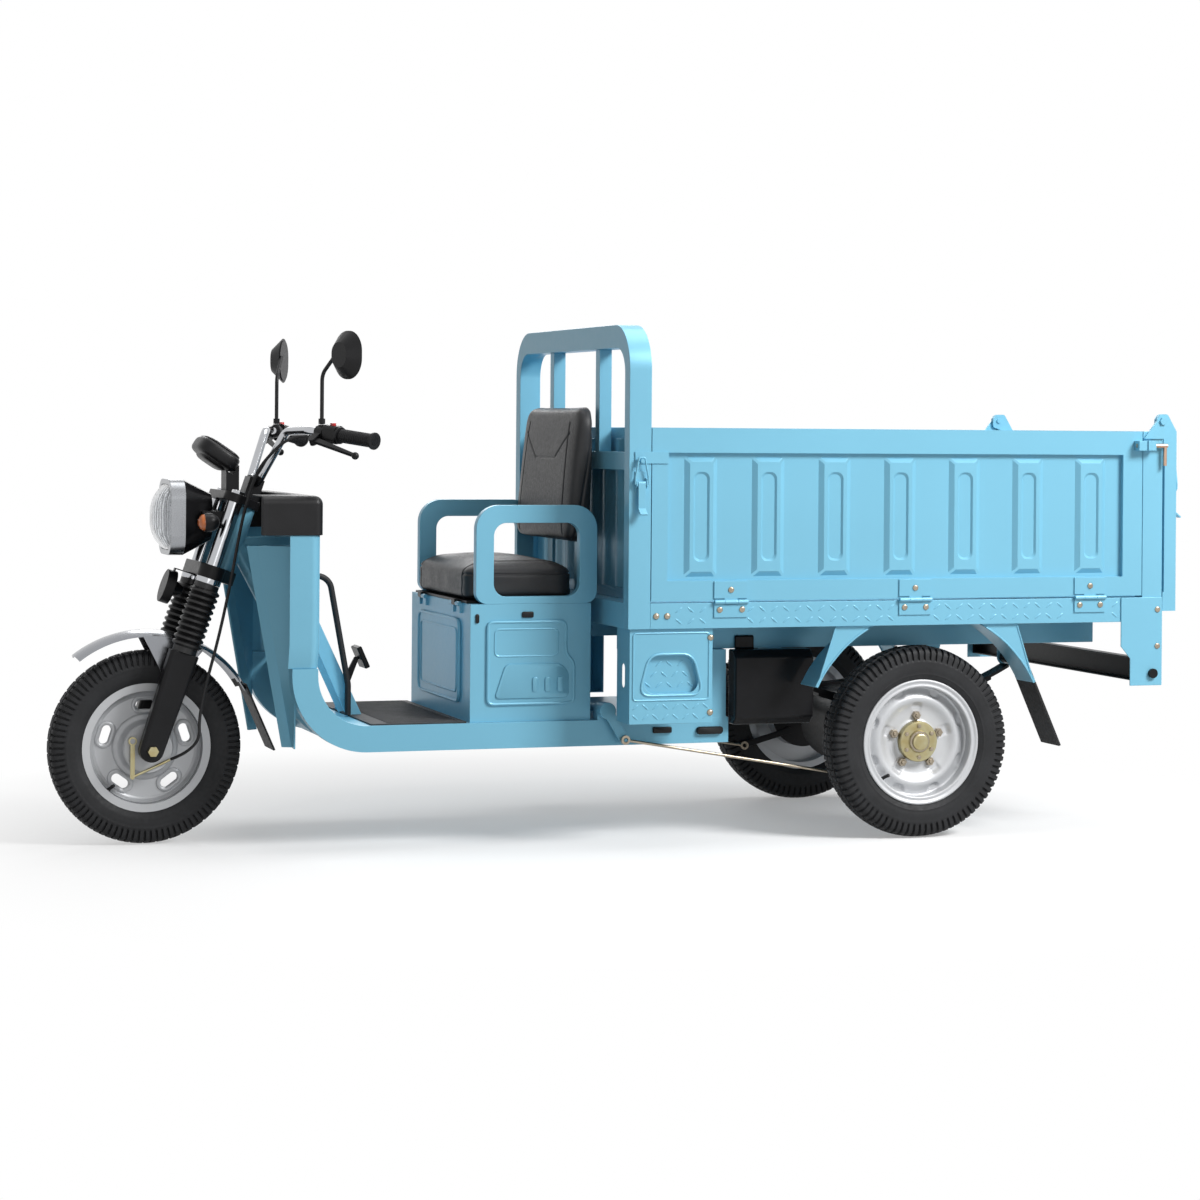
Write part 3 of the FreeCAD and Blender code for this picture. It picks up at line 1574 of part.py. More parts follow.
def seat_cushion():
    front = ahead(seat_front)
    rear = ahead(cushion_rear)
    floor = seat_top + pan_gap
    pan = block(front, rear, -cushion_half + cushion_draw, cushion_half - cushion_draw, floor,
                floor + pan_thickness)
    half_x = (rear - front) / 2
    cushion = pillow(half_x, cushion_half, cushion_corner, cushion_height - cushion_crown, cushion_draw,
                     cushion_edge,
                     cushion_crown)
    top = cushion_height + channel_depth
    for share in (-1, 1):
        middle = share * cushion_half / 3
        tool = block(-half_x, half_x, middle - channel_width / 2, middle + channel_width / 2,
                     cushion_height - channel_depth, top)
        cushion = cushion.cut(tool)
    cushion.translate(FreeCAD.Vector((front + rear) / 2, 0, floor + pan_thickness))
    x, z = seat_hinge_line()
    shapes = [pan]
    for side in (-1, 1):
        y = side * seat_hinge_side
        reach = seat_hinge_length / 6
        barrel = rod(FreeCAD.Vector(x, y - reach, z), FreeCAD.Vector(x, y + reach, z), seat_hinge_radius)
        leaf = block(x, front + seat_flange, y - reach, y + reach, floor, floor + pan_thickness)
        arm = block(x - seat_hinge_radius, x, y - reach, y + reach, z, floor + pan_thickness)
        leaf = fused([barrel, arm, leaf])
        line = FreeCAD.Vector(x, y - seat_hinge_length, z)
        shapes.append(leaf.cut(rod(line, line + across * (2 * seat_hinge_length),
                                   seat_hinge_pin + pin_fit)))
    save("seat_cushion", [fused(shapes), cushion])


def seat_frame():
    front = ahead(arm_front)
    rear = ahead(arm_rear)
    low = seat_top
    high = seat_top + arm_height
    outer = flat(rectangle(front, rear, low, high), [arm_round / 2, arm_round / 2, arm_round, arm_round],
                 "side", -seat_half)
    inner = flat(rectangle(front + arm_post, rear - arm_post, low + arm_foot, high - arm_bar),
                 arm_inner_round, "side", -seat_half)
    loop = outer.cut(inner).extrude(across * arm_width)
    back = ahead(seat_rear)
    deep = ahead(back_rear_low)
    shapes = pair(loop)
    for side in (-1, 1):
        y0 = side * upright_side - upright_width / 2
        y1 = y0 + upright_width
        bar = block(deep, deep + upright_thickness, y0, y1, seat_top - upright_foot,
                    back_bottom + upright_grip)
        foot = block(back, deep, y0, y1, seat_top - upright_foot, seat_top - upright_foot / 2)
        shapes.append(fused([bar, foot]))
    save("seat_frame", shapes)


def backrest():
    points = [
        (ahead(back_front_low), back_bottom),
        (ahead(back_rear_low), back_bottom - back_rise),
        (ahead(back_rear_low), back_bottom + back_flat),
        (ahead(back_rear_high), back_top + back_rise),
        (ahead(back_front_high), back_top),
    ]
    slab = plate(points, 0, "side", -back_half, 2 * back_half)
    high = back_top + back_rise
    low = back_bottom - back_rise
    front = ahead(back_front_low) - back_crown
    rear = ahead(back_rear_high)
    rounded = plate(rectangle(-back_half, back_half, low, high), back_corner, "front", front, rear - front)
    slab = slab.common(rounded)
    face_edges = []
    for edge in slab.Edges:
        box = edge.BoundBox
        if box.XMax < ahead(back_front_high) + pin_fit:
            face_edges.append(edge)
    slab = slab.makeFillet(back_edge, face_edges)
    save("backrest", [slab])


# Load bed
def deck_frame():
    shapes = []
    side = box_tube(guard_rear_x, post_front, -bed_half, -bed_half + deck_side, deck_bottom, deck_top, 0)
    shapes += pair(side)
    inner = bed_half - deck_side
    shapes.append(box_tube(deck_front, guard_rear_x, -inner, inner, deck_bottom, deck_top, 1))
    shapes.append(box_tube(deck_rear - deck_side, deck_rear, -inner, inner, deck_bottom, deck_top, 1))
    first = guard_rear_x
    last = deck_rear - deck_side
    pitch = (last - first) / (bearer_count + 1)
    for i in range(bearer_count):
        x = first + pitch * (i + 1)
        shapes.append(box_tube(x - bearer_width / 2, x + bearer_width / 2, -inner, inner, deck_bottom,
                               deck_top - sheet, 1))
    rail = box_tube(guard_rear_x, ahead(-rail_rear), rail_side - rail_width / 2,
                    rail_side + rail_width / 2,
                    rail_bottom, deck_bottom, 0)
    shapes += pair(rail)
    for x in hinge_places():
        shapes += pair(deck_leaf(x))
        for end in (-1, 1):
            seat = FreeCAD.Vector(x + end * hinge_width / 3, bed_half + hinge_leaf,
                                  hinge_z - hinge_leaf_down / 2)
            shapes += pair(dome_bolt(seat, across))
    shapes += hangers()
    save("deck_frame", shapes)
    floor = block(first, last, -inner, inner, deck_top - sheet, deck_top)
    save("bed_floor", [floor])


def hinge_places():
    return [side_front_x + (side_rear_x - side_front_x) * share for share in hinge_shares]


def deck_leaf(x):
    half = hinge_width / 2
    core = hinge_knuckle / 2 + run_gap / 2
    leaf = block(x - half, x + half, bed_half, bed_half + hinge_leaf, hinge_z - hinge_leaf_down, hinge_z)
    notch = block(x - core, x + core, bed_half - overrun, bed_half + hinge_leaf + overrun,
                  hinge_z - hinge_barrel - run_gap, hinge_z + overrun)
    leaf = leaf.cut(notch)
    shapes = [leaf]
    for end in (-1, 1):
        inner = FreeCAD.Vector(x + end * core, hinge_y, hinge_z)
        shapes.append(rod(inner, FreeCAD.Vector(x + end * half, hinge_y, hinge_z), hinge_barrel))
    reach = along * half
    middle = FreeCAD.Vector(x, hinge_y, hinge_z)
    shapes.append(rod(middle - reach, middle + reach, hinge_pin - pin_fit))
    clear = block(x - half - overrun, x + half + overrun, bed_half - hinge_barrel, bed_half,
                  hinge_z - hinge_leaf_down,
                  hinge_z + hinge_barrel * 2)
    return fused(shapes).cut(clear)


def side_leaf(x):
    half = hinge_width / 2
    core = hinge_knuckle / 2
    lift = side_bottom + hinge_barrel
    leaf = block(x - half, x + half, bed_half, bed_half + hinge_leaf, lift, lift + hinge_leaf_up)
    tongue = block(x - core, x + core, bed_half, bed_half + hinge_leaf, hinge_z, lift)
    middle = FreeCAD.Vector(x, hinge_y, hinge_z)
    barrel = rod(middle - along * core, middle + along * core, hinge_barrel)
    body = fused([leaf, tongue, barrel])
    body = body.cut(rod(middle - along * half, middle + along * half, hinge_pin))
    clear = block(x - half, x + half, bed_half - hinge_barrel, bed_half, hinge_z - hinge_barrel * 2,
                  lift + overrun)
    return body.cut(clear)


def rib_pad(width, height, rise, slope):
    low = flat(rectangle(-width / 2, width / 2, -height / 2, height / 2), slope / 2, "top", 0).OuterWire
    wide = width / 2 - slope
    tall = height / 2 - slope
    high = flat(rectangle(-wide, wide, -tall, tall), slope / 2, "top", rise).OuterWire
    pad = Part.makeLoft([low, high], True)
    slot = rib_slot_width / 2
    deep = height / 2 - rib_slot_margin
    tool = flat(rectangle(-slot, slot, -deep, deep), slot - pin_fit, "top", rise - rib_slot_depth).OuterWire
    lip = flat(rectangle(-slot - rib_slot_depth, slot + rib_slot_depth, -deep - rib_slot_depth,
                         deep + rib_slot_depth),
               slot - pin_fit, "top", rise + pin_fit).OuterWire
    return pad.cut(Part.makeLoft([tool, lip], True))


def panel(length, height, count, low, high, left, right):
    frame = Part.makeBox(length, side_depth, height)
    window = Part.makeBox(length - left - right, side_depth + 2 * overrun, height - low - high,
                          FreeCAD.Vector(left, -overrun, low))
    frame = frame.cut(window)
    skin_y = side_depth - sheet_recess
    skin = Part.makeBox(length - left - right, sheet, height - low - high,
                        FreeCAD.Vector(left, skin_y - sheet, low))
    shapes = [frame, skin]
    room = length - left - right
    pitch = room / count
    tall = height - low - high - 2 * rib_margin
    for i in range(count):
        pad = rib_pad(rib_width, tall, rib_height, rib_slope)
        middle = FreeCAD.Vector(left + pitch * (i + 0.5), skin_y, low + rib_margin + tall / 2)
        shapes.append(framed(pad, middle, along * -1, upward))
    return fused(shapes)


def side_panel():
    length = side_rear_x - side_front_x
    body = panel(length, side_top - side_bottom, rib_count, bottom_rail, top_rail, front_rail, end_rail)
    body.translate(FreeCAD.Vector(side_front_x, bed_half - side_depth, side_bottom))
    shapes = [body]
    for x in hinge_places():
        shapes.append(side_leaf(x))
        seat = FreeCAD.Vector(x, bed_half + hinge_leaf, side_bottom + hinge_barrel + hinge_leaf_up / 2)
        shapes.append(dome_bolt(seat, across))
    hook_x = latch_x()
    reach = bed_half + latch_base
    hook_z = latch_z + latch_loop
    tab = block(hook_x - latch_width / 2, side_front_x + latch_hook_plate, bed_half + run_gap / 2,
                reach + run_gap / 2,
                hook_z - latch_width / 2, hook_z + latch_width / 2)
    foot = block(side_front_x, side_front_x + latch_hook_plate, bed_half, bed_half + run_gap / 2,
                 hook_z - latch_width / 2, hook_z + latch_width / 2)
    peg_start = FreeCAD.Vector(hook_x, reach + run_gap / 2, hook_z - latch_wire - latch_hook - run_gap)
    peg = rod(peg_start, peg_start + across * latch_hook_reach, latch_hook)
    shapes.append(fused([tab, foot, peg]))
    block_end = side_rear_x - run_gap
    eye = bolt_block(block_end - bolt_block_length)
    shapes.append(eye)
    save("side_panel_right", shapes)
    save("side_panel_left", [mirrored(shape) for shape in shapes])


def bolt_block(x):
    half = bolt_block_height / 2
    piece = block(x, x + bolt_block_length, bed_half, bed_half + bolt_block_depth, bolt_pin_z - half,
                  bolt_pin_z + half)
    line = FreeCAD.Vector(x - overrun, bed_half + bolt_block_depth / 2, bolt_pin_z)
    return piece.cut(rod(line, line + along * (bolt_block_length + 2 * overrun),
                         bolt_pin_radius + pin_fit * 6))


def side_pins():
    start = FreeCAD.Vector(side_rear_x - run_gap - bolt_block_length, bed_half + bolt_block_depth / 2,
                           bolt_pin_z)
    end = start + along * bolt_pin_length
    pin = rod(start, end, bolt_pin_radius)
    drop = end - along * bolt_pin_radius
    handle = rod(drop, drop - upward * bolt_pin_drop, bolt_pin_radius - run_gap)
    pin = fused([pin, handle])
    save("side_pin_right", [pin])
    save("side_pin_left", [mirrored(pin)])


def latch_x():
    return deck_front + guard_post / 2


# A latch stands on a wall: base plate, two ears with the pivot, wire loop above, lever below.
def latch_parts():
    half = latch_width / 2
    base = block(-half, half, 0, latch_base, -latch_height / 2, latch_height / 2)
    wall = latch_width / 2 - latch_plate
    ears = []
    for sign in (-1, 1):
        inner = sign * wall
        outer = sign * half
        points = [(latch_base, -latch_height / 4), (latch_base + latch_stand, -latch_plate * 2),
                  (latch_base + latch_stand, latch_plate * 2), (latch_base, latch_height / 4)]
        ears.append(plate(points, 0, "front", min(inner, outer), latch_plate))
    line = FreeCAD.Vector(-half, latch_base + latch_stand / 2, 0)
    pivot = rod(line, line + along * latch_width, latch_pin - pin_fit)
    base = fused([base] + ears + [pivot])
    foot = half + latch_wire
    top = foot * latch_top_share
    depth = latch_base + latch_stand - latch_wire
    points = [
        FreeCAD.Vector(-foot, depth, -latch_plate),
        FreeCAD.Vector(-foot, depth, latch_height / 4),
        FreeCAD.Vector(-top, depth, latch_loop),
        FreeCAD.Vector(top, depth, latch_loop),
        FreeCAD.Vector(foot, depth, latch_height / 4),
        FreeCAD.Vector(foot, depth, -latch_plate),
    ]
    loop = bent_rod(points, latch_wire * 2, latch_wire)
    slim = latch_lever_width / 2
    front = latch_base + latch_stand / 2
    boss_line = FreeCAD.Vector(-slim, front, 0)
    boss = rod(boss_line, boss_line + along * latch_lever_width, latch_pin + latch_plate)
    points = [
        (front, 0),
        (front + latch_pin + latch_plate, 0),
        (front + latch_pin + latch_plate, -latch_lever + latch_curl),
        (front + latch_stand / 2 + latch_curl + latch_plate, -latch_lever),
        (front + latch_stand / 2 + latch_curl, -latch_lever - latch_plate),
        (front + latch_pin, -latch_lever + latch_curl - latch_plate),
    ]
    blade = plate(points, 0, "front", -slim, latch_lever_width)
    lever = fused([boss, blade])
    lever = lever.cut(rod(boss_line - along * slim, boss_line + along * latch_width, latch_pin))
    return base, loop, lever


def placed(shapes, place, x_dir, out_dir):
    return [framed(shape, place, x_dir, out_dir) for shape in shapes]


def side_latches():
    place = FreeCAD.Vector(latch_x(), bed_half, latch_z)
    base, loop, lever = placed(latch_parts(), place, along, across)
    save("side_latch_right", [lever])
    save("side_latch_left", [mirrored(lever)])
    return pair(base) + pair(loop)


def head_guard():
    inner = bed_half - hoop_width
    points = [(-bed_half, deck_bottom), (-bed_half, hoop_top), (bed_half, hoop_top),
              (bed_half, deck_bottom),
              (inner, deck_bottom), (inner, hoop_top - hoop_bar), (-inner, hoop_top - hoop_bar),
              (-inner, deck_bottom)]
    radii = [0, hoop_round, hoop_round, 0, 0, hoop_inner_round, hoop_inner_round, 0]
    hoop = plate(points, radii, "front", deck_front, guard_post)
    middle = deck_front + guard_post / 2
    half = hoop_bolt_bar / 2
    rail_top = hoop_rail_bottom + hoop_rail_height
    rail = box_tube(middle - half, middle + half, -inner, inner, hoop_rail_bottom, rail_top, 1)
    shapes = [hoop, rail]
    for side in (-1, 1):
        y = side * hoop_bar_side
        shapes.append(box_tube(middle - half, middle + half, y - half, y + half, rail_top,
                               hoop_top - hoop_bar, 2))
    back = deck_front + guard_post - sheet
    skin = block(back, back + sheet, -inner, inner, deck_top, side_top)
    room = 2 * (inner - bulkhead_margin)
    pitch = room / bulkhead_rib_count
    ribs = [skin]
    tall = side_top - deck_top - 2 * bulkhead_margin
    for i in range(bulkhead_rib_count):
        y = -room / 2 + pitch * (i + 0.5)
        wide = bulkhead_rib / 2
        rib = plate([(back, y - wide), (back - bulkhead_rib_depth, y - wide / 2),
                     (back - bulkhead_rib_depth, y + wide / 2),
                     (back, y + wide)], 0, "top", deck_top + bulkhead_margin, tall)
        ribs.append(rib)
    shapes.append(fused(ribs))
    save("head_guard", shapes + side_latches())


def rear_posts():
    post = block(post_front, deck_rear, bed_half - post_width, bed_half, deck_bottom, side_top)
    core = block(post_front + tube_wall, deck_rear - tube_wall, bed_half - post_width + tube_wall,
                 bed_half - tube_wall,
                 deck_bottom - overrun, side_top - tube_wall)
    post = post.cut(core)
    points = [(post_front, side_top - ear_foot), (deck_rear, side_top - ear_foot),
              (ear_x + ear_radius, ear_z),
              (ear_x + ear_radius, ear_z + ear_radius), (ear_x - ear_radius,
                                                         ear_z + ear_radius), (ear_x - ear_radius, ear_z)]
    tip = ear_radius - pin_fit
    ear = plate(points, [0, 0, 0, tip, tip, 0], "side", bed_half, ear_thickness)
    pivot = FreeCAD.Vector(ear_x, bed_half, ear_z)
    inner = pivot - across * (2 * ear_thickness + run_gap)
    pin = rod(inner, pivot + across * ear_thickness, ear_pin - pin_fit)
    head = hexagon(pivot + across * ear_thickness, across, ear_head, ear_head_height)
    ear = fused([ear, pin, head])
    neck = deck_bottom - corner_shoulder
    low = deck_bottom - corner_drop
    front = ahead(-corner_front)
    points = [(front, deck_top), (front, neck), (ahead(-corner_neck), neck - corner_shoulder / 2),
              (ahead(-corner_neck), low), (deck_rear, low), (deck_rear, deck_top)]
    gusset = plate(points, 0, "side", bed_half, corner_plate)
    face = bed_half + corner_plate
    bolts = []
    for z in (deck_bottom + deck_edge / 2, neck):
        bolts.append(dome_bolt(FreeCAD.Vector(deck_rear - post_depth / 4, face, z), across))
    disc = FreeCAD.Vector(deck_rear - post_depth / 2, face, low + corner_shoulder / 2)
    bolts.append(rod(disc, disc + across * reflector_height, reflector_radius))
    keeper = bolt_block(post_front + run_gap)
    shapes = [post, ear, gusset, keeper] + bolts
    save("rear_posts", [solid for shape in shapes for solid in pair(shape)])


def tailgate():
    half = bed_half - tail_side_gap
    height = side_top - tail_bottom
    body = panel(2 * half, height, tail_rib_count, bottom_rail, top_rail, end_rail, end_rail)
    body = framed(body, FreeCAD.Vector(tail_front + tail_depth - side_depth, half, tail_bottom),
                  across * -1, along)
    stiff = block(tail_front, tail_front + tail_depth - side_depth, -half, half, tail_bottom,
                  tail_bottom + bottom_rail)
    brow = block(tail_front, tail_front + tail_depth - side_depth, -half, half, side_top - top_rail,
                 side_top)
    points = [(tail_front, side_top), (tail_rear, side_top), (ear_x + ear_radius, ear_z + ear_radius),
              (ear_x - ear_radius, ear_z + ear_radius), (ear_x - ear_radius, ear_z - ear_radius)]
    tip = ear_radius - pin_fit
    lug = plate(points, [0, 0, tip / 2, tip, tip / 2], "side", half - ear_thickness, ear_thickness)
    pivot = FreeCAD.Vector(ear_x, 0, ear_z)
    lug = lug.cut(rod(pivot, pivot + across * (2 * bed_half), ear_pin))
    shapes = [fused([body, stiff, brow]), lug, mirrored(lug)]
    place = FreeCAD.Vector(tail_rear, tail_latch_side, tail_latch_z)
    base, loop, lever = placed(latch_parts(), place, across * -1, along)
    hook_z = tail_latch_z + latch_loop
    half_tab = latch_width / 2
    tab = block(tail_rear, tail_rear + latch_base, tail_latch_side - half_tab, tail_latch_side + half_tab,
                hook_z - half_tab, hook_z + half_tab)
    peg_start = FreeCAD.Vector(tail_rear, tail_latch_side, hook_z - latch_wire - latch_hook - run_gap)
    peg = rod(peg_start, peg_start + along * (latch_base + latch_hook_reach), latch_hook)
    shapes += pair(base) + pair(loop) + pair(fused([tab, peg]))
    save("tailgate", shapes)
    save("tail_latch_right", [lever])
    save("tail_latch_left", [mirrored(lever)])


def lamp_bar():
    front = ahead(-lamp_bar_front)
    rear = front + lamp_bar_depth
    low = lamp_bar_top - lamp_bar_height
    bar = block(front, rear, -bed_half, bed_half, low, lamp_bar_top)
    core = block(front - overrun, rear - tube_wall, -bed_half + tube_wall, bed_half - tube_wall,
                 low + tube_wall,
                 lamp_bar_top - tube_wall)
    middle = (low + lamp_bar_top) / 2
    shapes = [bar.cut(core)]
    points = rectangle(lamp_side - lamp_width / 2, lamp_side + lamp_width / 2, middle - lamp_height / 2,
                       middle + lamp_height / 2)
    lamp = plate(points, lamp_height / 4, "front", rear, lamp_depth)
    lamp = lamp.makeFillet(lamp_depth / 4,
                           [edge for edge in lamp.Edges if edge.BoundBox.XMin > rear + lamp_depth / 2])
    save("rear_lamp_bar", shapes + pair(lamp))


def step_boxes():
    front = ahead(step_front)
    rear = ahead(step_rear)
    outer = bed_half - step_inset
    inner = outer - step_depth
    shell = block(front, rear, inner, outer, step_bottom, deck_bottom)
    shell = shell.cut(block(front + sheet, rear - sheet, inner - overrun, outer - sheet,
                            step_bottom + sheet, deck_bottom - sheet))
    middle = (front + rear) / 2
    half = step_hole_width / 2
    top = deck_bottom - step_hole_top
    low = top - step_hole_height
    points = [(middle - half, low), (middle + half, low), (middle + half - step_hole_slant, top),
              (middle - half + step_hole_slant, top)]
    hole = plate(points, step_hole_round, "side", outer - 2 * sheet, 3 * sheet)
    slot_y = (inner + outer) / 2
    slot = step_slot_width / 2
    slot_z = (step_bottom + deck_bottom) / 2
    points = rectangle(slot_y - slot, slot_y + slot, slot_z - step_slot_height / 2,
                       slot_z + step_slot_height / 2)
    eye = plate(points, step_slot_round, "front", front - overrun, sheet + 2 * overrun)
    save("step_boxes", pair(shell.cut(hole).cut(eye)))


def arch_bracket():
    outer = bed_half - arch_inset
    level = deck_bottom
    drop = level - rear_tyre_radius
    near = math.sqrt(arch_radius * arch_radius - drop * drop)
    low_z = arch_radius * math.sin(math.radians(arch_low))
    low_x = arch_radius * math.cos(math.radians(arch_low))
    turn = math.radians((arch_low + math.degrees(math.atan2(drop, near))) / 2)
    centre = FreeCAD.Vector(rear_axle_x, outer, rear_tyre_radius)

    def at(x, z):
        return centre + FreeCAD.Vector(x, 0, z)

    start = at(near, drop)
    middle = at(arch_radius * math.cos(turn), arch_radius * math.sin(turn))
    end = at(low_x, low_z)
    top = at(arch_top_far, drop)
    edges = [Part.Arc(start, middle, end).toShape(), Part.LineSegment(end, top).toShape(),
             Part.LineSegment(top, start).toShape()]
    web = Part.Face(Part.Wire(edges)).extrude(across * -arch_sheet)
    ring = Part.makeCylinder(arch_radius + arch_sheet, arch_width, centre - across * arch_width, across)
    hollow = Part.makeCylinder(arch_radius, arch_width + 2 * overrun,
                               centre - across * (arch_width + overrun), across)
    band = ring.cut(hollow)
    wedge = [centre, at(2 * near, 2 * drop), at(2 * low_x, 2 * low_z)]
    keep = Part.Face(Part.makePolygon(wedge + wedge[:1])).extrude(across * -arch_width)
    band = band.common(keep)
    band = band.common(block(rear_axle_x, rear_axle_x + 2 * arch_radius, outer - arch_width, outer, 0,
                             level))
    return fused([web, band])


def wheel_arches():
    rear = arch_bracket()
    front = rear.mirror(FreeCAD.Vector(rear_axle_x, 0, 0), along)
    save("arch_brackets", pair(rear) + pair(front))
    low = math.radians(arch_low)
    reach = arch_radius + arch_sheet
    top_x = rear_axle_x + reach * math.cos(low)
    top_z = rear_tyre_radius + reach * math.sin(low)
    outer = bed_half - arch_inset - arch_sheet
    flap = block(0, rear_flap_thickness, outer - rear_flap_width, outer, -rear_flap_length, rear_flap_lap)
    flap.rotate(origin, across, -rear_flap_lean)
    flap.translate(FreeCAD.Vector(top_x - overrun, 0, top_z))
    flap = flap.cut(rear)
    flap = max(flap.Solids, key=lambda solid: solid.Volume)
    save("mud_flaps", pair(flap))


def controller_box():
    front = ahead(controller_front)
    outer = rail_side + rail_width / 2 + controller_gap
    points = [(outer, rail_bottom - controller_height), (outer + controller_depth - controller_bevel,
                                                         rail_bottom - controller_height),
              (outer + controller_depth, rail_bottom - controller_height + controller_bevel),
              (outer + controller_depth,
               rail_bottom - controller_bevel), (outer + controller_depth - controller_bevel, rail_bottom),
              (outer, rail_bottom)]
    flipped = [(-y, z) for y, z in points]
    body = plate(flipped, 0, "front", front, controller_length)
    tab = block(front + controller_bevel, front + controller_length / 3, -outer, -outer + controller_gap,
                rail_bottom - controller_bevel, rail_bottom + rail_height / 2)
    save("controller_box", [fused([body, tab])])


# Rear axle
def spring_shape(half, low, rise):
    def curve(level):
        return [(-half, level + rise), (0, level), (half, level + rise)]

    bottom = [FreeCAD.Vector(rear_axle_x + x, 0, z) for x, z in curve(low)]
    top = [FreeCAD.Vector(rear_axle_x + x, 0, z) for x, z in curve(low + spring_leaf)]
    edges = [Part.Arc(*bottom).toShape(), Part.LineSegment(bottom[2], top[2]).toShape(),
             Part.Arc(*top).toShape(), Part.LineSegment(top[0], bottom[0]).toShape()]
    return Part.Face(Part.Wire(edges)).extrude(across * spring_width)


def spring_base():
    return rear_tyre_radius + axle_tube_radius + spring_seat


def eye_height():
    return spring_base() + spring_leaf * (spring_leaves - 1) + spring_rise + spring_eye


def leaf_springs():
    shapes = []
    base = spring_base()
    for i in range(spring_leaves):
        half = spring_half - spring_step * (spring_leaves - 1 - i)
        leaf = spring_shape(half, base + spring_leaf * i, spring_rise * (half / spring_half) ** 2)
        shapes.append(leaf)
    body = fused(shapes)
    for end in (-1, 1):
        centre = FreeCAD.Vector(rear_axle_x + end * spring_half, 0, eye_height())
        eye = rod(centre, centre + across * spring_width, spring_eye)
        body = fused([body, eye])
    for end in (-1, 1):
        centre = FreeCAD.Vector(rear_axle_x + end * spring_half, -overrun, eye_height())
        body = body.cut(rod(centre, centre + across * (spring_width + 2 * overrun), spring_pin + pin_fit))
    body.translate(across * (rail_side - spring_width / 2))
    save("leaf_springs", pair(body))


def hangers():
    shapes = []
    for end in (-1, 1):
        x = rear_axle_x + end * spring_half
        z = eye_height()
        parts = []
        inner = rail_side - spring_width / 2 - hanger_gap
        outer = rail_side + spring_width / 2 + hanger_gap
        tip = hanger_half - pin_fit
        points = rectangle(x - hanger_half, x + hanger_half, z - hanger_half, rail_bottom)
        radii = [tip, tip, 0, 0]
        parts.append(plate(points, radii, "side", inner - hanger_thickness, hanger_thickness))
        parts.append(plate(points, radii, "side", outer, hanger_thickness))
        top = block(x - hanger_half, x + hanger_half, inner - hanger_thickness, outer + hanger_thickness,
                    rail_bottom - hanger_thickness, rail_bottom)
        parts.append(top)
        line = FreeCAD.Vector(x, inner - hanger_thickness, z)
        parts.append(rod(line, FreeCAD.Vector(x, outer + hanger_thickness, z), spring_pin))
        shapes += pair(fused(parts))
    return shapes


def rear_axle():
    centre = FreeCAD.Vector(rear_axle_x, 0, rear_tyre_radius)
    inner = rear_track / 2 - rear_drum_depth - brake_plate_gap
    tube = rod(centre - across * inner, centre + across * inner, axle_tube_radius)
    shapes = [tube]
    middle = centre + across * motor_side
    half = across * (motor_width / 2)
    drum = rod(middle - half, middle + half, motor_radius)
    rim_edges = [edge for edge in drum.Edges if edge.BoundBox.YLength < pin_fit]
    shapes.append(drum.makeChamfer(motor_bevel, rim_edges))
    reach = across * (rear_track / 2 + rear_disc / 2 + rear_hub_reach - 2 * tube_wall)
    shapes.append(rod(centre - reach, centre + reach, spindle_radius))
    for side in (-1, 1):
        face = centre + across * (side * inner)
        shapes.append(rod(face - across * (side * brake_plate), face, rear_drum_radius))
        seat_y = side * rail_side
        shapes.append(block(rear_axle_x - spring_seat_length / 2, rear_axle_x + spring_seat_length / 2,
                            seat_y - spring_width / 2, seat_y + spring_width / 2, rear_tyre_radius,
                            spring_base()))
    lever = cam_lever(inner - brake_plate)
    save("rear_axle", [fused(shapes + pair(lever))])


def cam_lever(plate_y):
    tip = rod_end()
    start_y = tip.y + rod_thickness / 2 + run_gap
    reach = rear_drum_radius * bulge_share
    cam = FreeCAD.Vector(rear_axle_x - reach, start_y, rear_tyre_radius - reach)
    tip = FreeCAD.Vector(tip.x, start_y, tip.z)
    side = (tip - cam).normalize()
    over = FreeCAD.Vector(-side.z, 0, side.x) * rod_lever
    corners = [cam + over, cam - over, tip - over, tip + over]
    depth = across * (plate_y - start_y)
    arm = Part.Face(Part.makePolygon(corners + corners[:1])).extrude(depth)
    return fused([arm, rod(cam, cam + depth, rod_eye), rod(tip, tip + depth, rod_eye)])


front_wheel()
rear_wheel(-1)
rear_wheel(1)
fork_legs()
fork_tubes()
fork_boots()
fork_yokes()
front_axle()
front_brake_cam()
front_fender()
handlebar()
hand_controls()
brake_lever()
mirror()
headlight()
instrument_cluster()
front_brake_cable()
floor_frame()
head_tube_frame()
leg_shield()
shield_cap()
wiring_loom()
brake_pedal()
brake_crank()
brake_rods()
seat_box()
seat_cushion()
seat_frame()
backrest()
deck_frame()
side_panel()
side_pins()
head_guard()
rear_posts()
tailgate()
lamp_bar()
step_boxes()
wheel_arches()
controller_box()
leaf_springs()
rear_axle()
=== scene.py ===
import json
from math import copysign, cos, dist, exp, hypot, pi, radians, sin

import bmesh
import bpy
from mathutils import Matrix, Vector


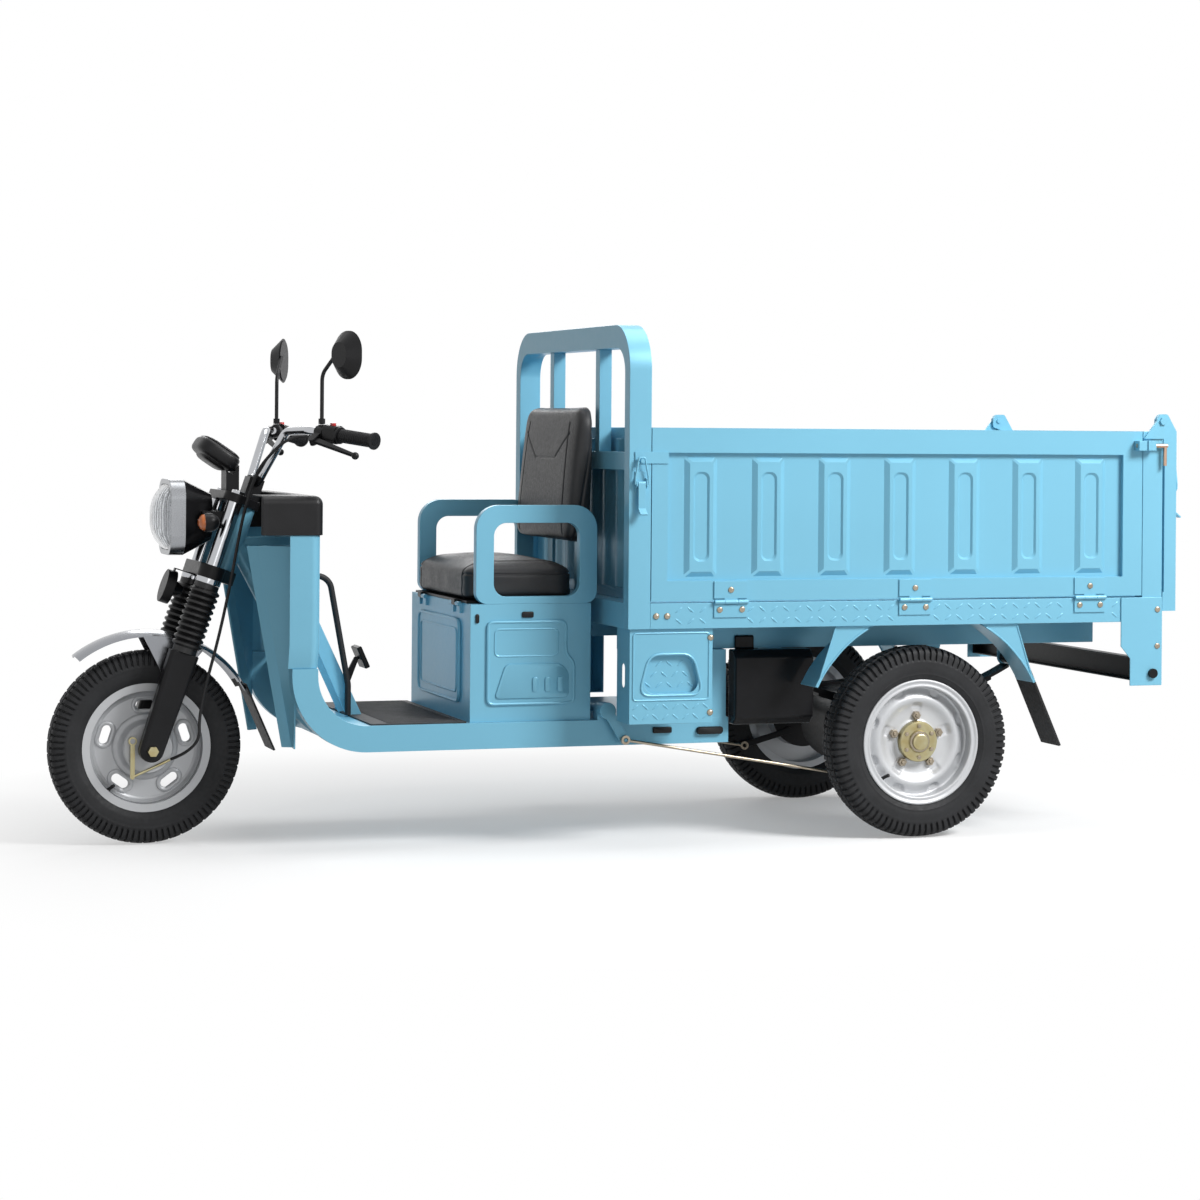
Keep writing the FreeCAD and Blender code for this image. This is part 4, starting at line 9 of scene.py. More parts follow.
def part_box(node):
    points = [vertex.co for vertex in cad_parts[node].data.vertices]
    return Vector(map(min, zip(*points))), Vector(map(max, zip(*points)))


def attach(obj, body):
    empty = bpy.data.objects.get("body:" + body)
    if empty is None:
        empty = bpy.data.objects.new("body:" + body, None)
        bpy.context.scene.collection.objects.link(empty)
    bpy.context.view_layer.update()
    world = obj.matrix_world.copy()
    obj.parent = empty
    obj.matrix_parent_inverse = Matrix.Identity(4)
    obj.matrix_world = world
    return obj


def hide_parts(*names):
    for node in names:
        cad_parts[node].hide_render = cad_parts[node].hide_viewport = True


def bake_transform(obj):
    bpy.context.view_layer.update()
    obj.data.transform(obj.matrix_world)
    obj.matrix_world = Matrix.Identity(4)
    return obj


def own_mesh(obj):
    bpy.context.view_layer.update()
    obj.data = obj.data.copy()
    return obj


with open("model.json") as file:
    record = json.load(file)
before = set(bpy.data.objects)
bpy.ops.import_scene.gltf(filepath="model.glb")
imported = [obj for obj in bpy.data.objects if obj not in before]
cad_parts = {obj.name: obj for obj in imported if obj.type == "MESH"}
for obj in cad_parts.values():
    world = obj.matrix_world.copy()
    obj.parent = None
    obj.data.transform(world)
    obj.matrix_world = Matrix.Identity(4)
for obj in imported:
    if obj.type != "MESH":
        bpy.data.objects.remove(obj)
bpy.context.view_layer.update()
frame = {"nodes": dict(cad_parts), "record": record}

nodes = frame["nodes"]
record = frame["record"]
body_of = {n: b for b, members in record["behaviour"]["bodies"].items() for n in members}
slot_of = {s["node"]: s["material_slot"] for s in record["subparts"]}
scene = bpy.context.scene

# Places in metres, in the frame of the CAD model
rear_x = 0.735
front_x = -1.255
front_radius = 0.25
rear_radius = 0.255
track_half = 0.415
bed_half = 0.5
step_face = bed_half - 0.01
mirror_yaw = radians(25)

# Limits for reading the CAD meshes: points that are one, faces that are flat, edges that are sharp, bolts
weld, fine_weld = 1e-5, 1e-6
flat_angle = radians(0.4)
sharp_angle = radians(32)
bolt_limit = 0.021


# Materials
def shader(name):
    mat = bpy.data.materials.new(name)
    mat.use_nodes = True
    return mat, mat.node_tree, mat.node_tree.nodes["Principled BSDF"]


def node(tree, kind, **values):
    made = tree.nodes.new(kind)
    for key, value in values.items():
        if key in made.inputs:
            made.inputs[key].default_value = value
        else:
            setattr(made, key, value)
    return made


def noise_at(tree, coords, scale, detail=3.0, stretch=None):
    made = node(tree, "ShaderNodeTexNoise", Scale=scale, Detail=detail)
    source = coords.outputs["Object"]
    if stretch:
        bend = node(tree, "ShaderNodeMapping", Scale=stretch)
        tree.links.new(source, bend.inputs["Vector"])
        source = bend.outputs["Vector"]
    tree.links.new(source, made.inputs["Vector"])
    return made.outputs[0]


def ranged(tree, source, low, high, start=0.3, end=0.7):
    made = node(tree, "ShaderNodeMapRange", **{"From Min": start, "From Max": end, "To Min": low, "To Max": high})
    tree.links.new(source, made.inputs["Value"])
    return made.outputs["Result"]


def tinted(tree, share, first, second):
    made = node(tree, "ShaderNodeMix", data_type="RGBA", A=(*first, 1), B=(*second, 1))
    tree.links.new(share, made.inputs["Factor"])
    return made


def surface(name, colour, rough, metal=0.0, vary=0.06, broad=5.0, fine=260.0, rough_vary=0.05, grain=900.0,
            bump=0.12, depth=0.0002, coat=0.0, coat_rough=0.08, specular=0.5, stretch=None, other=None,
            cells=False, transmit=0.0, ior=1.5):
    """A material whose colour drifts broadly, whose gloss drifts finely, and whose grain is a bump."""
    mat, tree, bsdf = shader(name)
    coords = node(tree, "ShaderNodeTexCoord")
    if other is None:
        first = tuple(c * (1 - vary) for c in colour)
        second = tuple(min(1.0, c * (1 + vary)) for c in colour)
    else:
        first, second = colour, other
    cloud = ranged(tree, noise_at(tree, coords, broad, 4.0), 0, 1)
    tree.links.new(tinted(tree, cloud, first, second).outputs["Result"], bsdf.inputs["Base Color"])
    patch = noise_at(tree, coords, fine, 2.0, stretch)
    low = max(0.02, rough - rough_vary)
    tree.links.new(ranged(tree, patch, low, rough + rough_vary), bsdf.inputs["Roughness"])
    if cells:
        relief = node(tree, "ShaderNodeTexVoronoi", feature="DISTANCE_TO_EDGE", Scale=grain)
        tree.links.new(coords.outputs["Object"], relief.inputs["Vector"])
        height = ranged(tree, relief.outputs["Distance"], 0, 1, 0.0, 0.25)
    else:
        height = noise_at(tree, coords, grain, 2.0, stretch)
    lift = node(tree, "ShaderNodeBump", Strength=bump, Distance=depth)
    tree.links.new(height, lift.inputs["Height"])
    tree.links.new(lift.outputs["Normal"], bsdf.inputs["Normal"])
    for key, value in (("Metallic", metal), ("Coat Weight", coat), ("Coat Roughness", coat_rough),
                       ("Specular IOR Level", specular), ("Transmission Weight", transmit), ("IOR", ior)):
        bsdf.inputs[key].default_value = value
    return mat


blue = surface("sky_blue_paint", (0.19, 0.48, 0.64), 0.36, metal=0.12, vary=0.025, broad=2.2, fine=60,
               rough_vary=0.03, grain=700, bump=0.05, coat=0.06, coat_rough=0.18, specular=0.3)
black_paint = surface("black_satin_paint", (0.008, 0.008, 0.009), 0.36, vary=0.25, broad=12, fine=150, bump=0.1,
                      specular=0.18)
silver = surface("silver_wheel_paint", (0.53, 0.54, 0.555), 0.42, metal=0.28, vary=0.03, broad=9, fine=200,
                 grain=1400, bump=0.06, coat=0.15, coat_rough=0.2)
chrome = surface("polished_chrome", (0.47, 0.48, 0.5), 0.11, metal=1.0, vary=0.03, broad=14, fine=80,
                 rough_vary=0.04, grain=500, bump=0.02)
bezel_metal = surface("brushed_bezel", (0.31, 0.32, 0.335), 0.26, metal=1.0, vary=0.05, broad=12,
                      rough_vary=0.06, grain=700, bump=0.06, stretch=(1, 1, 9))
guard_metal = surface("polished_guard", (0.29, 0.3, 0.32), 0.2, metal=1.0, vary=0.04, broad=8, fine=90,
                      grain=600, bump=0.03)
zinc = surface("yellow_zinc", (0.36, 0.295, 0.14), 0.33, metal=1.0, broad=34, fine=180, grain=800, bump=0.1,
               other=(0.44, 0.41, 0.26))
bronze = surface("bronzed_bolts", (0.36, 0.31, 0.24), 0.34, metal=1.0, vary=0.14, broad=60, fine=300, bump=0.1)
copper = surface("copper_pin", (0.5, 0.33, 0.24), 0.32, metal=1.0, vary=0.14, broad=40, fine=240, bump=0.1)
tyre_rubber = surface("tyre_rubber", (0.017, 0.0175, 0.019), 0.6, vary=0.22, broad=16, fine=120, rough_vary=0.08,
                      grain=1300, bump=0.22, specular=0.26)
rubber = surface("black_rubber", (0.013, 0.013, 0.014), 0.58, vary=0.2, broad=20, fine=150, rough_vary=0.08,
                 grain=1100, bump=0.18, specular=0.3)
boot_rubber = surface("gloss_boot_rubber", (0.011, 0.011, 0.012), 0.34, vary=0.2, broad=20, fine=150,
                      rough_vary=0.06, grain=1100, bump=0.08, specular=0.4)
leather = surface("black_leather", (0.018, 0.018, 0.0195), 0.43, vary=0.18, broad=9, fine=120, rough_vary=0.06,
                  grain=620, bump=0.28, depth=0.0004, cells=True, specular=0.32)
plastic = surface("black_moulded_plastic", (0.009, 0.009, 0.01), 0.4, vary=0.18, broad=15, fine=200,
                  rough_vary=0.06, bump=0.14, cells=True, specular=0.24)
gloss_black = surface("black_gloss_plastic", (0.01, 0.01, 0.011), 0.22, vary=0.2, broad=15, fine=160, grain=700,
                      bump=0.04, specular=0.14)
clear = surface("clear_lens", (0.95, 0.96, 0.97), 0.06, vary=0.01, broad=20, fine=200, rough_vary=0.03, grain=300,
                bump=0.05, transmit=1.0, ior=1.47)
amber = surface("amber_lens", (0.86, 0.2, 0.012), 0.2, vary=0.1, broad=40, fine=300, grain=600, bump=0.1,
                coat=0.5, transmit=0.15)
red = surface("red_plastic", (0.5, 0.012, 0.012), 0.26, vary=0.1, broad=50, fine=300, grain=600, bump=0.08,
              coat=0.4)
glass = surface("mirror_glass", (0.86, 0.87, 0.88), 0.05, metal=1.0, vary=0.01, broad=10, fine=80, rough_vary=0.02,
                grain=200, bump=0.01)
mat_rubber = surface("ribbed_mat_rubber", (0.034, 0.034, 0.036), 0.66, vary=0.3, broad=24, fine=160, grain=1200,
                     bump=0.3, specular=0.35)


# Meshes
def linked(name, data):
    made = bpy.data.objects.new(name, data)
    scene.collection.objects.link(made)
    return made


def placed(name, bm, materials):
    """A new object from a mesh in the making, which is used up."""
    mesh = bpy.data.meshes.new(name)
    bm.to_mesh(mesh)
    bm.free()
    for mat in materials if isinstance(materials, list) else [materials]:
        mesh.materials.append(mat)
    return linked(name, mesh)


def piece(name, bm, body, slot, materials, smooth=40.0):
    """A piece that rides on a body, with sharp edges where its faces meet at more than an angle."""
    bmesh.ops.recalc_face_normals(bm, faces=bm.faces)
    limit = radians(smooth)
    for face in bm.faces:
        face.smooth = True
    for edge in bm.edges:
        edge.smooth = len(edge.link_faces) == 2 and edge.calc_face_angle(0.0) < limit
    made = placed(name, bm, materials)
    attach(made, body)
    return made


def apply_modifiers(made):
    graph = bpy.context.evaluated_depsgraph_get()
    mesh = bpy.data.meshes.new_from_object(made.evaluated_get(graph))
    made.modifiers.clear()
    old = made.data
    made.data = mesh
    bpy.data.meshes.remove(old)


def islands(bm):
    seen = set()
    for seed in bm.verts:
        if seed in seen:
            continue
        group, stack = [], [seed]
        seen.add(seed)
        while stack:
            vert = stack.pop()
            group.append(vert)
            for edge in vert.link_edges:
                other = edge.other_vert(vert)
                if other not in seen:
                    seen.add(other)
                    stack.append(other)
        yield group


def welded(name, merge=False):
    """A CAD node's mesh with its points joined and, with merge, its flat faces too."""
    bm = bmesh.new()
    bm.from_mesh(nodes[name].data)
    bmesh.ops.remove_doubles(bm, verts=bm.verts, dist=weld)
    if merge:
        bmesh.ops.dissolve_limit(bm, angle_limit=flat_angle, verts=bm.verts, edges=bm.edges)
    return bm


def box_of(verts):
    """The low and the high corner of the box around some points."""
    return [Vector(edge(vert.co[i] for vert in verts) for i in range(3)) for edge in (min, max)]


def dress(name, materials, width=0.0015, pick=None, face_pick=None, segments=2, convex=False):
    """A copy of a CAD node with its sharp edges rounded by width, and a material for each of its solids."""
    bm = welded(name, merge=True)
    for group in list(islands(bm)):
        low, high = box_of(group)
        index = pick((low + high) / 2, high - low) if pick else 0
        for face in dict.fromkeys(face for vert in group for face in vert.link_faces):
            face.material_index = face_pick(face.calc_center_median(), face, index) if face_pick else index
        edges = dict.fromkeys(edge for vert in group for edge in vert.link_edges)
        edges = [edge for edge in edges if len(edge.link_faces) == 2
                 and edge.calc_face_angle(0.0) > sharp_angle and (edge.is_convex or not convex)]
        if edges and width:
            bmesh.ops.bevel(bm, geom=edges, offset=width, offset_type="OFFSET", segments=segments, profile=0.5,
                            affect="EDGES", clamp_overlap=True, material=-1)
    made = piece(name + "_skin", bm, body_of[name], slot_of[name], materials, smooth=36)
    made.modifiers.new("weights", "WEIGHTED_NORMAL").keep_sharp = True
    apply_modifiers(made)
    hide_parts(name)
    return made


def reach(face, x, z):
    """How far a face goes from an axle that runs across the vehicle."""
    return max(hypot(vert.co.x - x, vert.co.z - z) for vert in face.verts)


def small(centre, size):
    """The second material for bolts and other small solids."""
    return 1 if max(size) < bolt_limit else 0


# Where a dressed node changes its material
foot_low, foot_high, foot_top = 0.0245, 0.0275, 0.5
lamp_width = 0.2
grip_start, clamp_half, clamp_top = 0.405, 0.08, 0.952
bezel_back = -1.1685
flap_front, flap_top = -1.0375, 0.413
spindle_radius = 0.03
hub_radius, hub_front = 0.0475, 0.4205
pane_band = 0.0015

for name in ("floor_frame", "head_tube_frame", "leg_shield", "seat_box", "seat_frame", "head_guard", "deck_frame",
             "bed_floor", "step_boxes", "arch_brackets", "side_panel_left", "side_panel_right", "tailgate",
             "side_latch_left", "side_latch_right", "tail_latch_left", "tail_latch_right", "brake_crank"):
    dress(name, [blue, bronze], pick=small)
dress("rear_posts", [blue, bronze, black_paint],
      pick=lambda c, s: 2 if foot_low < max(s) < foot_high and c.z < foot_top else small(c, s))
dress("floor_mat", mat_rubber, 0.001)
dress("shield_cap", plastic, 0.002)
dress("wiring_loom", rubber, 0.001)
dress("rear_lamp_bar", [black_paint, red], pick=lambda c, s: 1 if s.y < lamp_width else 0)
dress("mud_flaps", rubber, 0.001)
dress("controller_box", gloss_black, 0.014, segments=5)
dress("fork_yokes", black_paint, 0.002)
dress("fork_tubes", chrome, 0.001)
boots = dress("fork_boots", boot_rubber, 0.0)
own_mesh(boots)
dress("handlebar", [chrome, black_paint],
      face_pick=lambda c, f, i: 1 if abs(c.y) > grip_start or (abs(c.y) < clamp_half and c.z < clamp_top) else 0)
dress("headlight_housing", [gloss_black, bezel_metal], 0.006, segments=4,
      face_pick=lambda c, f, i: 1 if c.x < bezel_back else 0)
dress("hand_controls", plastic, convex=True)
dress("fork_legs", black_paint, 0.003)
dress("front_fender", [guard_metal, rubber], 0.001,
      face_pick=lambda c, f, i: 1 if c.x > flap_front and c.z < flap_top else 0)
dress("front_axle", [zinc, silver], 0.001,
      face_pick=lambda c, f, i: 1 if reach(f, front_x, front_radius) > spindle_radius else 0)
dress("front_rim", silver, 0.002)
dress("front_brake_cam", zinc, 0.001)
dress("brake_lever_left", black_paint)
dress("brake_lever_right", black_paint)
dress("throttle_grip", rubber, 0.001)


def glass_face(centre, face, index):
    """The flat pane of a mirror faces rearwards and a little to one side, in front of its shell."""
    side = 1 if centre.y > 0 else -1
    facing = Vector((cos(mirror_yaw), -side * sin(mirror_yaw), 0))
    name = "mirror_right" if side > 0 else "mirror_left"
    front = max(facing.dot(vert.co) for vert in nodes[name].data.vertices)
    return 1 if face.normal.dot(facing) > 0.98 and facing.dot(centre) > front - pane_band else 0


for name in ("mirror_left", "mirror_right"):
    dress(name, [plastic, glass], 0.0, face_pick=glass_face)

# The buttons are a little smaller than their solids, so that they stay clear of the pocket when pressed
button_share, crown_band = 0.93, 0.0015
for name in ("horn_button", "start_button"):
    button = dress(name, red, 0.001)
    crown = max(vert.co.z for vert in button.data.vertices)
    upper = [vert.co.copy() for vert in button.data.vertices if vert.co.z > crown - crown_band]
    middle = sum(upper, Vector()) / len(upper)
    for vert in button.data.vertices:
        vert.co = middle + (vert.co - middle) * button_share
dress("brake_pedal", black_paint, 0.002)
dress("brake_rods", bronze, 0.0)
dress("side_pin_left", copper, 0.001)
dress("side_pin_right", copper, 0.001)
dress("rear_axle", black_paint, 0.002)

# Leaf springs without their eyes, between the axle and the hangers
eye_reach, eye_radius, eye_bore, eye_cut, axle_travel = 0.355, 0.017, 0.0084, 0.012, 0.05
low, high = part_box("leaf_springs")
eye_z = high[2] - eye_radius
bm = welded("leaf_springs")
for end in (-1, 1):
    geometry = bm.verts[:] + bm.edges[:] + bm.faces[:]
    cut = bmesh.ops.bisect_plane(bm, geom=geometry, plane_co=(rear_x + end * (eye_reach - eye_cut), 0, 0),
                                 plane_no=(end, 0, 0), clear_outer=True)
    rim = [item for item in cut["geom_cut"] if isinstance(item, bmesh.types.BMEdge)]
    bmesh.ops.holes_fill(bm, edges=rim, sides=0)
springs = piece("spring_leaves", bm, "axle", "black_paint", black_paint)
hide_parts("leaf_springs")
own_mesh(springs)


def hub_face(centre, face, index):
    return 2 if reach(face, rear_x, rear_radius) < hub_radius and abs(centre.y) > hub_front else index


for name in ("rear_rim_left", "rear_rim_right"):
    dress(name, [silver, bronze, zinc], pick=small, face_pick=hub_face)


# Cushions
pad_voxel, pad_fill = 0.0055, 0.85
air_pressure, air_frames, air_move = 1.8, 15, 0.009
stretch_stiffness, bend_stiffness, smooth_rounds = 30.0, 45.0, 34
pad_below, pad_above = 0.008, 0.004


def split_node(name):
    """A node's mesh, with the points of each of its solids, the largest solid first."""
    bm = welded(name)
    return bm, sorted(islands(bm), key=len, reverse=True)


def cushion(name, shrink, groove):
    """A padded copy of a node's largest solid: remeshed, blown up as cloth with its movement capped, then sewn."""
    bm, groups = split_node(name)
    bmesh.ops.delete(bm, geom=[vert for group in groups[1:] for vert in group], context="VERTS")
    low, high = box_of(bm.verts)
    centre = (low + high) / 2
    for vert in bm.verts:
        for i in range(3):
            half = (high[i] - low[i]) / 2
            vert.co[i] = centre[i] + (vert.co[i] - centre[i]) * (half - shrink[i]) / half
    made = piece(name + "_padded", bm, body_of[name], "leather", leather, smooth=60)
    mesher = made.modifiers.new("even", "REMESH")
    mesher.mode = "VOXEL"
    mesher.voxel_size = pad_voxel
    apply_modifiers(made)
    rest = [vert.co.copy() for vert in made.data.vertices]
    cloth = made.modifiers.new("air", "CLOTH").settings
    cloth.use_pressure = True
    cloth.uniform_pressure_force = air_pressure
    cloth.effector_weights.gravity = 0.0
    cloth.tension_stiffness = cloth.compression_stiffness = stretch_stiffness
    cloth.bending_stiffness = bend_stiffness
    for number in range(1, air_frames + 1):
        scene.frame_set(number)
    apply_modifiers(made)
    scene.frame_set(1)
    for vert, start in zip(made.data.vertices, rest):
        move = vert.co - start
        if move.length > air_move:
            vert.co = start + move.normalized() * air_move
    smoother = made.modifiers.new("soft", "SMOOTH")
    smoother.factor = 0.5
    smoother.iterations = smooth_rounds
    finer = made.modifiers.new("finer", "SUBSURF")
    finer.levels = finer.render_levels = 1
    apply_modifiers(made)
    made.data.update()
    normals = [vert.normal.copy() for vert in made.data.vertices]
    for vert, normal in zip(made.data.vertices, normals):
        vert.co = vert.co - normal * groove(vert.co, normal)
        for i in range(3):
            vert.co[i] = min(high[i] + pad_above, max(low[i] - pad_below, vert.co[i]))
    made.data.materials.clear()
    made.data.materials.append(leather)
    for face in made.data.polygons:
        face.use_smooth = True
    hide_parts(name)


def bell(off, width):
    return exp(-(off / width) ** 2)


def line_cut(off, depth=0.0042):
    """The depth of a sewn line at a distance from its middle."""
    return depth * bell(off, 0.0026)


def seat_seams(co, normal):
    """A line where each outer panel of the seat meets the middle, and one round the panel's sides."""
    panel_start, piping_z = 0.205, 0.7005
    cut = line_cut(co.z - piping_z) if normal.z < 0.75 and abs(co.y) > panel_start else 0.0
    if normal.z > 0.3 or normal.x < -0.3:
        cut += line_cut(abs(co.y) - panel_start)
    return cut


def back_seams(co, normal):
    """Two upright lines that lean in, a line across that dips in the middle, and one round the edge."""
    if normal.x < -0.2:
        upright = 0.185 - 0.05 * (co.z - 0.96)
        cut = line_cut(abs(co.y) - upright) if 0.8 < co.z < 1.1 else 0.0
        if abs(co.y) < 0.19:
            dipped = 1.003 + 0.64 * max(0.0, abs(co.y) - 0.085)
            cut += line_cut(co.z - dipped)
        return cut
    edge = 0.17 * co.z - 0.3
    return line_cut(co.x - edge, 0.003)


cushion("seat_cushion", (0.0, 0.004, 0.002), seat_seams)
cushion("backrest", (0.002, 0.003, 0.003), back_seams)
bm, groups = split_node("seat_cushion")
bmesh.ops.delete(bm, geom=groups[0], context="VERTS")
piece("seat_pan", bm, "seat", "leather", black_paint)


# Rows of points
def skin(bm, rows, index=0, loop=False):
    """Joins rows of points, each a closed ring or a single point, and with loop the last to the first."""
    for a, b in zip(rows, rows[1:] + rows[:1] if loop else rows[1:]):
        count = max(len(a), len(b))
        for k in range(count):
            m = (k + 1) % count
            ring = dict.fromkeys((a[k % len(a)], a[m % len(a)], b[m % len(b)], b[k % len(b)]))
            bm.faces.new(list(ring)).material_index = index


def solid(bm, rows, index=0):
    """Joins rows of points and closes the last and the first."""
    skin(bm, rows, index)
    for ring in (rows[-1], rows[0][::-1]):
        bm.faces.new(ring).material_index = index


def circle(count):
    return [(cos(2 * pi * k / count), sin(2 * pi * k / count)) for k in range(count)]


def step(low, high, value):
    """Rises smoothly from 0 at low to 1 at high."""
    t = min(1.0, max(0.0, (value - low) / (high - low)))
    return t * t * (3 - 2 * t)


# Tyres
tread_turns = (0.0, 0.26, 0.5, 0.56, 0.76, 0.94)
block_cut, sipe_cut, line_depth, zigzag = 0.0058, 0.0035, 0.0055, 0.045
section_middle, bead_radius, wall, zig_line = 0.205, 0.158, 0.01, 0.44


def tyre_section(radius, half):
    """The outside of a tyre as (radius, width) points on a smooth curve, from bead to bead."""
    points = [(0.16, 0.7), (0.1665, 0.8), (0.176, 0.915), (0.19, 0.985), (0.204, 1.0), (0.22, 0.985),
              (radius - 0.02, 0.955), (radius - 0.0125, 0.905), (radius - 0.007, 0.8), (radius - 0.0045, 0.68),
              (radius - 0.002, 0.42), (radius - 0.0005, 0.2), (radius, 0.0)]
    points = [(r, y * half) for r, y in points]
    full = points + [(r, -y) for r, y in reversed(points[:-1])]
    steps = []
    for i in range(len(full) - 1):
        p0, p1, p2 = full[max(0, i - 1)], full[i], full[i + 1]
        p3 = full[min(len(full) - 1, i + 2)]
        count = max(2, round(dist(p1, p2) / 0.0032))
        for k in range(count):
            t = k / count
            steps.append(tuple(0.5 * (2 * p1[j] + (p2[j] - p0[j]) * t
                                      + (2 * p0[j] - 5 * p1[j] + 4 * p2[j] - p3[j]) * t * t
                                      + (3 * p1[j] - p0[j] - 3 * p2[j] + p3[j]) * t ** 3) for j in (0, 1)))
    steps.append(full[-1])
    return steps


def build_tyre(name, radius, half, centre, lugs, body):
    """A tyre with shoulder blocks, sipes and two zigzag lines and a straight one cut into its tread."""
    section = tyre_section(radius, half)
    inner = [(max(bead_radius, r - wall), y * 0.86) for r, y in section[::4]]
    bm = bmesh.new()
    rings = []
    for number in range(lugs * len(tread_turns)):
        lug, part = divmod(number, len(tread_turns))
        angle = (lug + tread_turns[part]) / lugs * 2 * pi
        zig = zigzag if (lug % 2 == 0) == (part < 3) else -zigzag
        ring = []
        for r, y in section:
            side = abs(y) / half
            cut = 0.0
            if part in (3, 4):
                cut = block_cut * step(radius - 0.04, radius - 0.03, r) * step(0.46, 0.52, side)
            if part == 4:
                cut = max(cut, sipe_cut * step(0.02, 0.06, side) * (1 - step(0.34, 0.38, side)))
            if r > radius - 0.01:
                for off in (abs(side - zig_line - zig), side):
                    cut = max(cut, line_depth * (1 - step(0.025, 0.055, off)))
            cut -= 0.001 * bell(r - 0.1815, 0.0016) + 0.0009 * bell(r - (radius - 0.0425), 0.0016)
            direction = Vector((r - section_middle, y)).normalized()
            ring.append((r - direction.x * cut, y - direction.y * cut))
        ring += reversed(inner)
        rings.append([bm.verts.new((r * cos(angle), y, r * sin(angle))) for r, y in ring])
    skin(bm, rings, loop=True)
    bmesh.ops.translate(bm, verts=bm.verts, vec=centre)
    made = piece(name + "_tread", bm, body, "tyre", tyre_rubber, smooth=30)
    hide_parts(name)


build_tyre("front_tyre", front_radius, 0.045, (front_x, 0, front_radius), 92, "front_wheel")
build_tyre("rear_tyre_left", rear_radius, 0.05, (rear_x, -track_half, rear_radius), 84, "wheel_left")
build_tyre("rear_tyre_right", rear_radius, 0.05, (rear_x, track_half, rear_radius), 84, "wheel_right")


# Small forms
def lathe(bm, profile, centre, side=1, segments=48, index=0):
    """Turns (radius, reach) points about the axis across the vehicle, reach counted outwards."""
    rows = []
    for radius, out in profile:
        rows.append([bm.verts.new((centre[0] + radius * c, centre[1] + side * out, centre[2] + radius * s))
                     for c, s in (circle(segments) if radius else [(0, 0)])])
    skin(bm, rows, index)


def sweep(bm, path, radius, sides=10, closed=False, index=0):
    """A round tube along a path of points, with its ends closed unless the path is a loop."""
    path = [Vector(point) for point in path]
    count = len(path)
    rings = []
    normal = None
    for k, point in enumerate(path):
        before = path[k - 1] if closed or k else point
        after = path[(k + 1) % count] if closed or k < count - 1 else point
        along = (after - before).normalized()
        if normal is None:
            normal = along.cross(Vector((0, 0, 1) if abs(along.z) < 0.9 else (1, 0, 0))).normalized()
        normal = (normal - along * normal.dot(along)).normalized()
        other = along.cross(normal)
        size = radius(k / max(1, count - 1)) if callable(radius) else radius
        rings.append([bm.verts.new(point + (normal * c + other * s) * size) for c, s in circle(sides)])
    skin(bm, rings, index, closed)
    if not closed:
        for ring in (rings[0], rings[-1][::-1]):
            bm.faces.new(ring).material_index = index


def bead(bm, loop, radius):
    """A round bead along a loop of points."""
    sweep(bm, loop, radius, 8, closed=True)


def rounded(points, radius, steps=6):
    """A closed outline in two dimensions with its corners rounded."""
    out = []
    count = len(points)
    for k in range(count):
        corner = Vector(points[k])
        a = Vector(points[k - 1]) - corner
        b = Vector(points[(k + 1) % count]) - corner
        r = min(radius, a.length * 0.48, b.length * 0.48)
        start, end = corner + a.normalized() * r, corner + b.normalized() * r
        for j in range(steps + 1):
            t = j / steps
            out.append(start * (1 - t) ** 2 + corner * 2 * t * (1 - t) + end * t * t)
    return out


def panel(u0, v0, u1, v1, radius):
    """A rectangle with rounded corners."""
    return rounded([(u0, v0), (u1, v0), (u1, v1), (u0, v1)], radius)


def slab(bm, outline, place, depth, bevel):
    """A plate from an outline, place turning (u, v, w) into a point, with its front edge bevelled."""
    outline = [Vector(point) for point in outline]
    centre = sum(outline, Vector((0, 0))) / len(outline)
    size = max((point - centre).length for point in outline)
    rows = []
    for inset, w in ((0, 0), (0, depth - bevel), (bevel * 0.3, depth - bevel * 0.3), (bevel, depth)):
        share = 1 - inset / size
        rows.append([bm.verts.new(place(*(centre + (point - centre) * share), w)) for point in outline])
    solid(bm, rows)


def hexagon_nut(bm, centre, side, radius, height):
    """A nut with the end of its bolt, standing out from a wheel."""
    u, v, axis = Vector((side, 0, 0)), Vector((0, 0, -1)), Vector((0, side, 0))
    rows = []
    for share, rise in ((1, 0), (1, 0.8), (0.84, 1.0), (0.45, 1.0), (0.4, 1.25)):
        rows.append([bm.verts.new(Vector(centre) + (u * c + v * s) * radius * share + axis * height * rise)
                     for c, s in circle(6)])
    solid(bm, rows, 1)


def oval(half, high, turns=40):
    straight = half - high
    return [(copysign(straight, c) + high * c, high * s) for c, s in circle(turns)]


def eased(value, power):
    return copysign(abs(value) ** power, value)


def squircle(half_u, half_v, turns):
    """An outline between an ellipse and a rectangle."""
    return [(eased(c, 0.5) * half_u, eased(s, 0.5) * half_v) for c, s in circle(turns)]


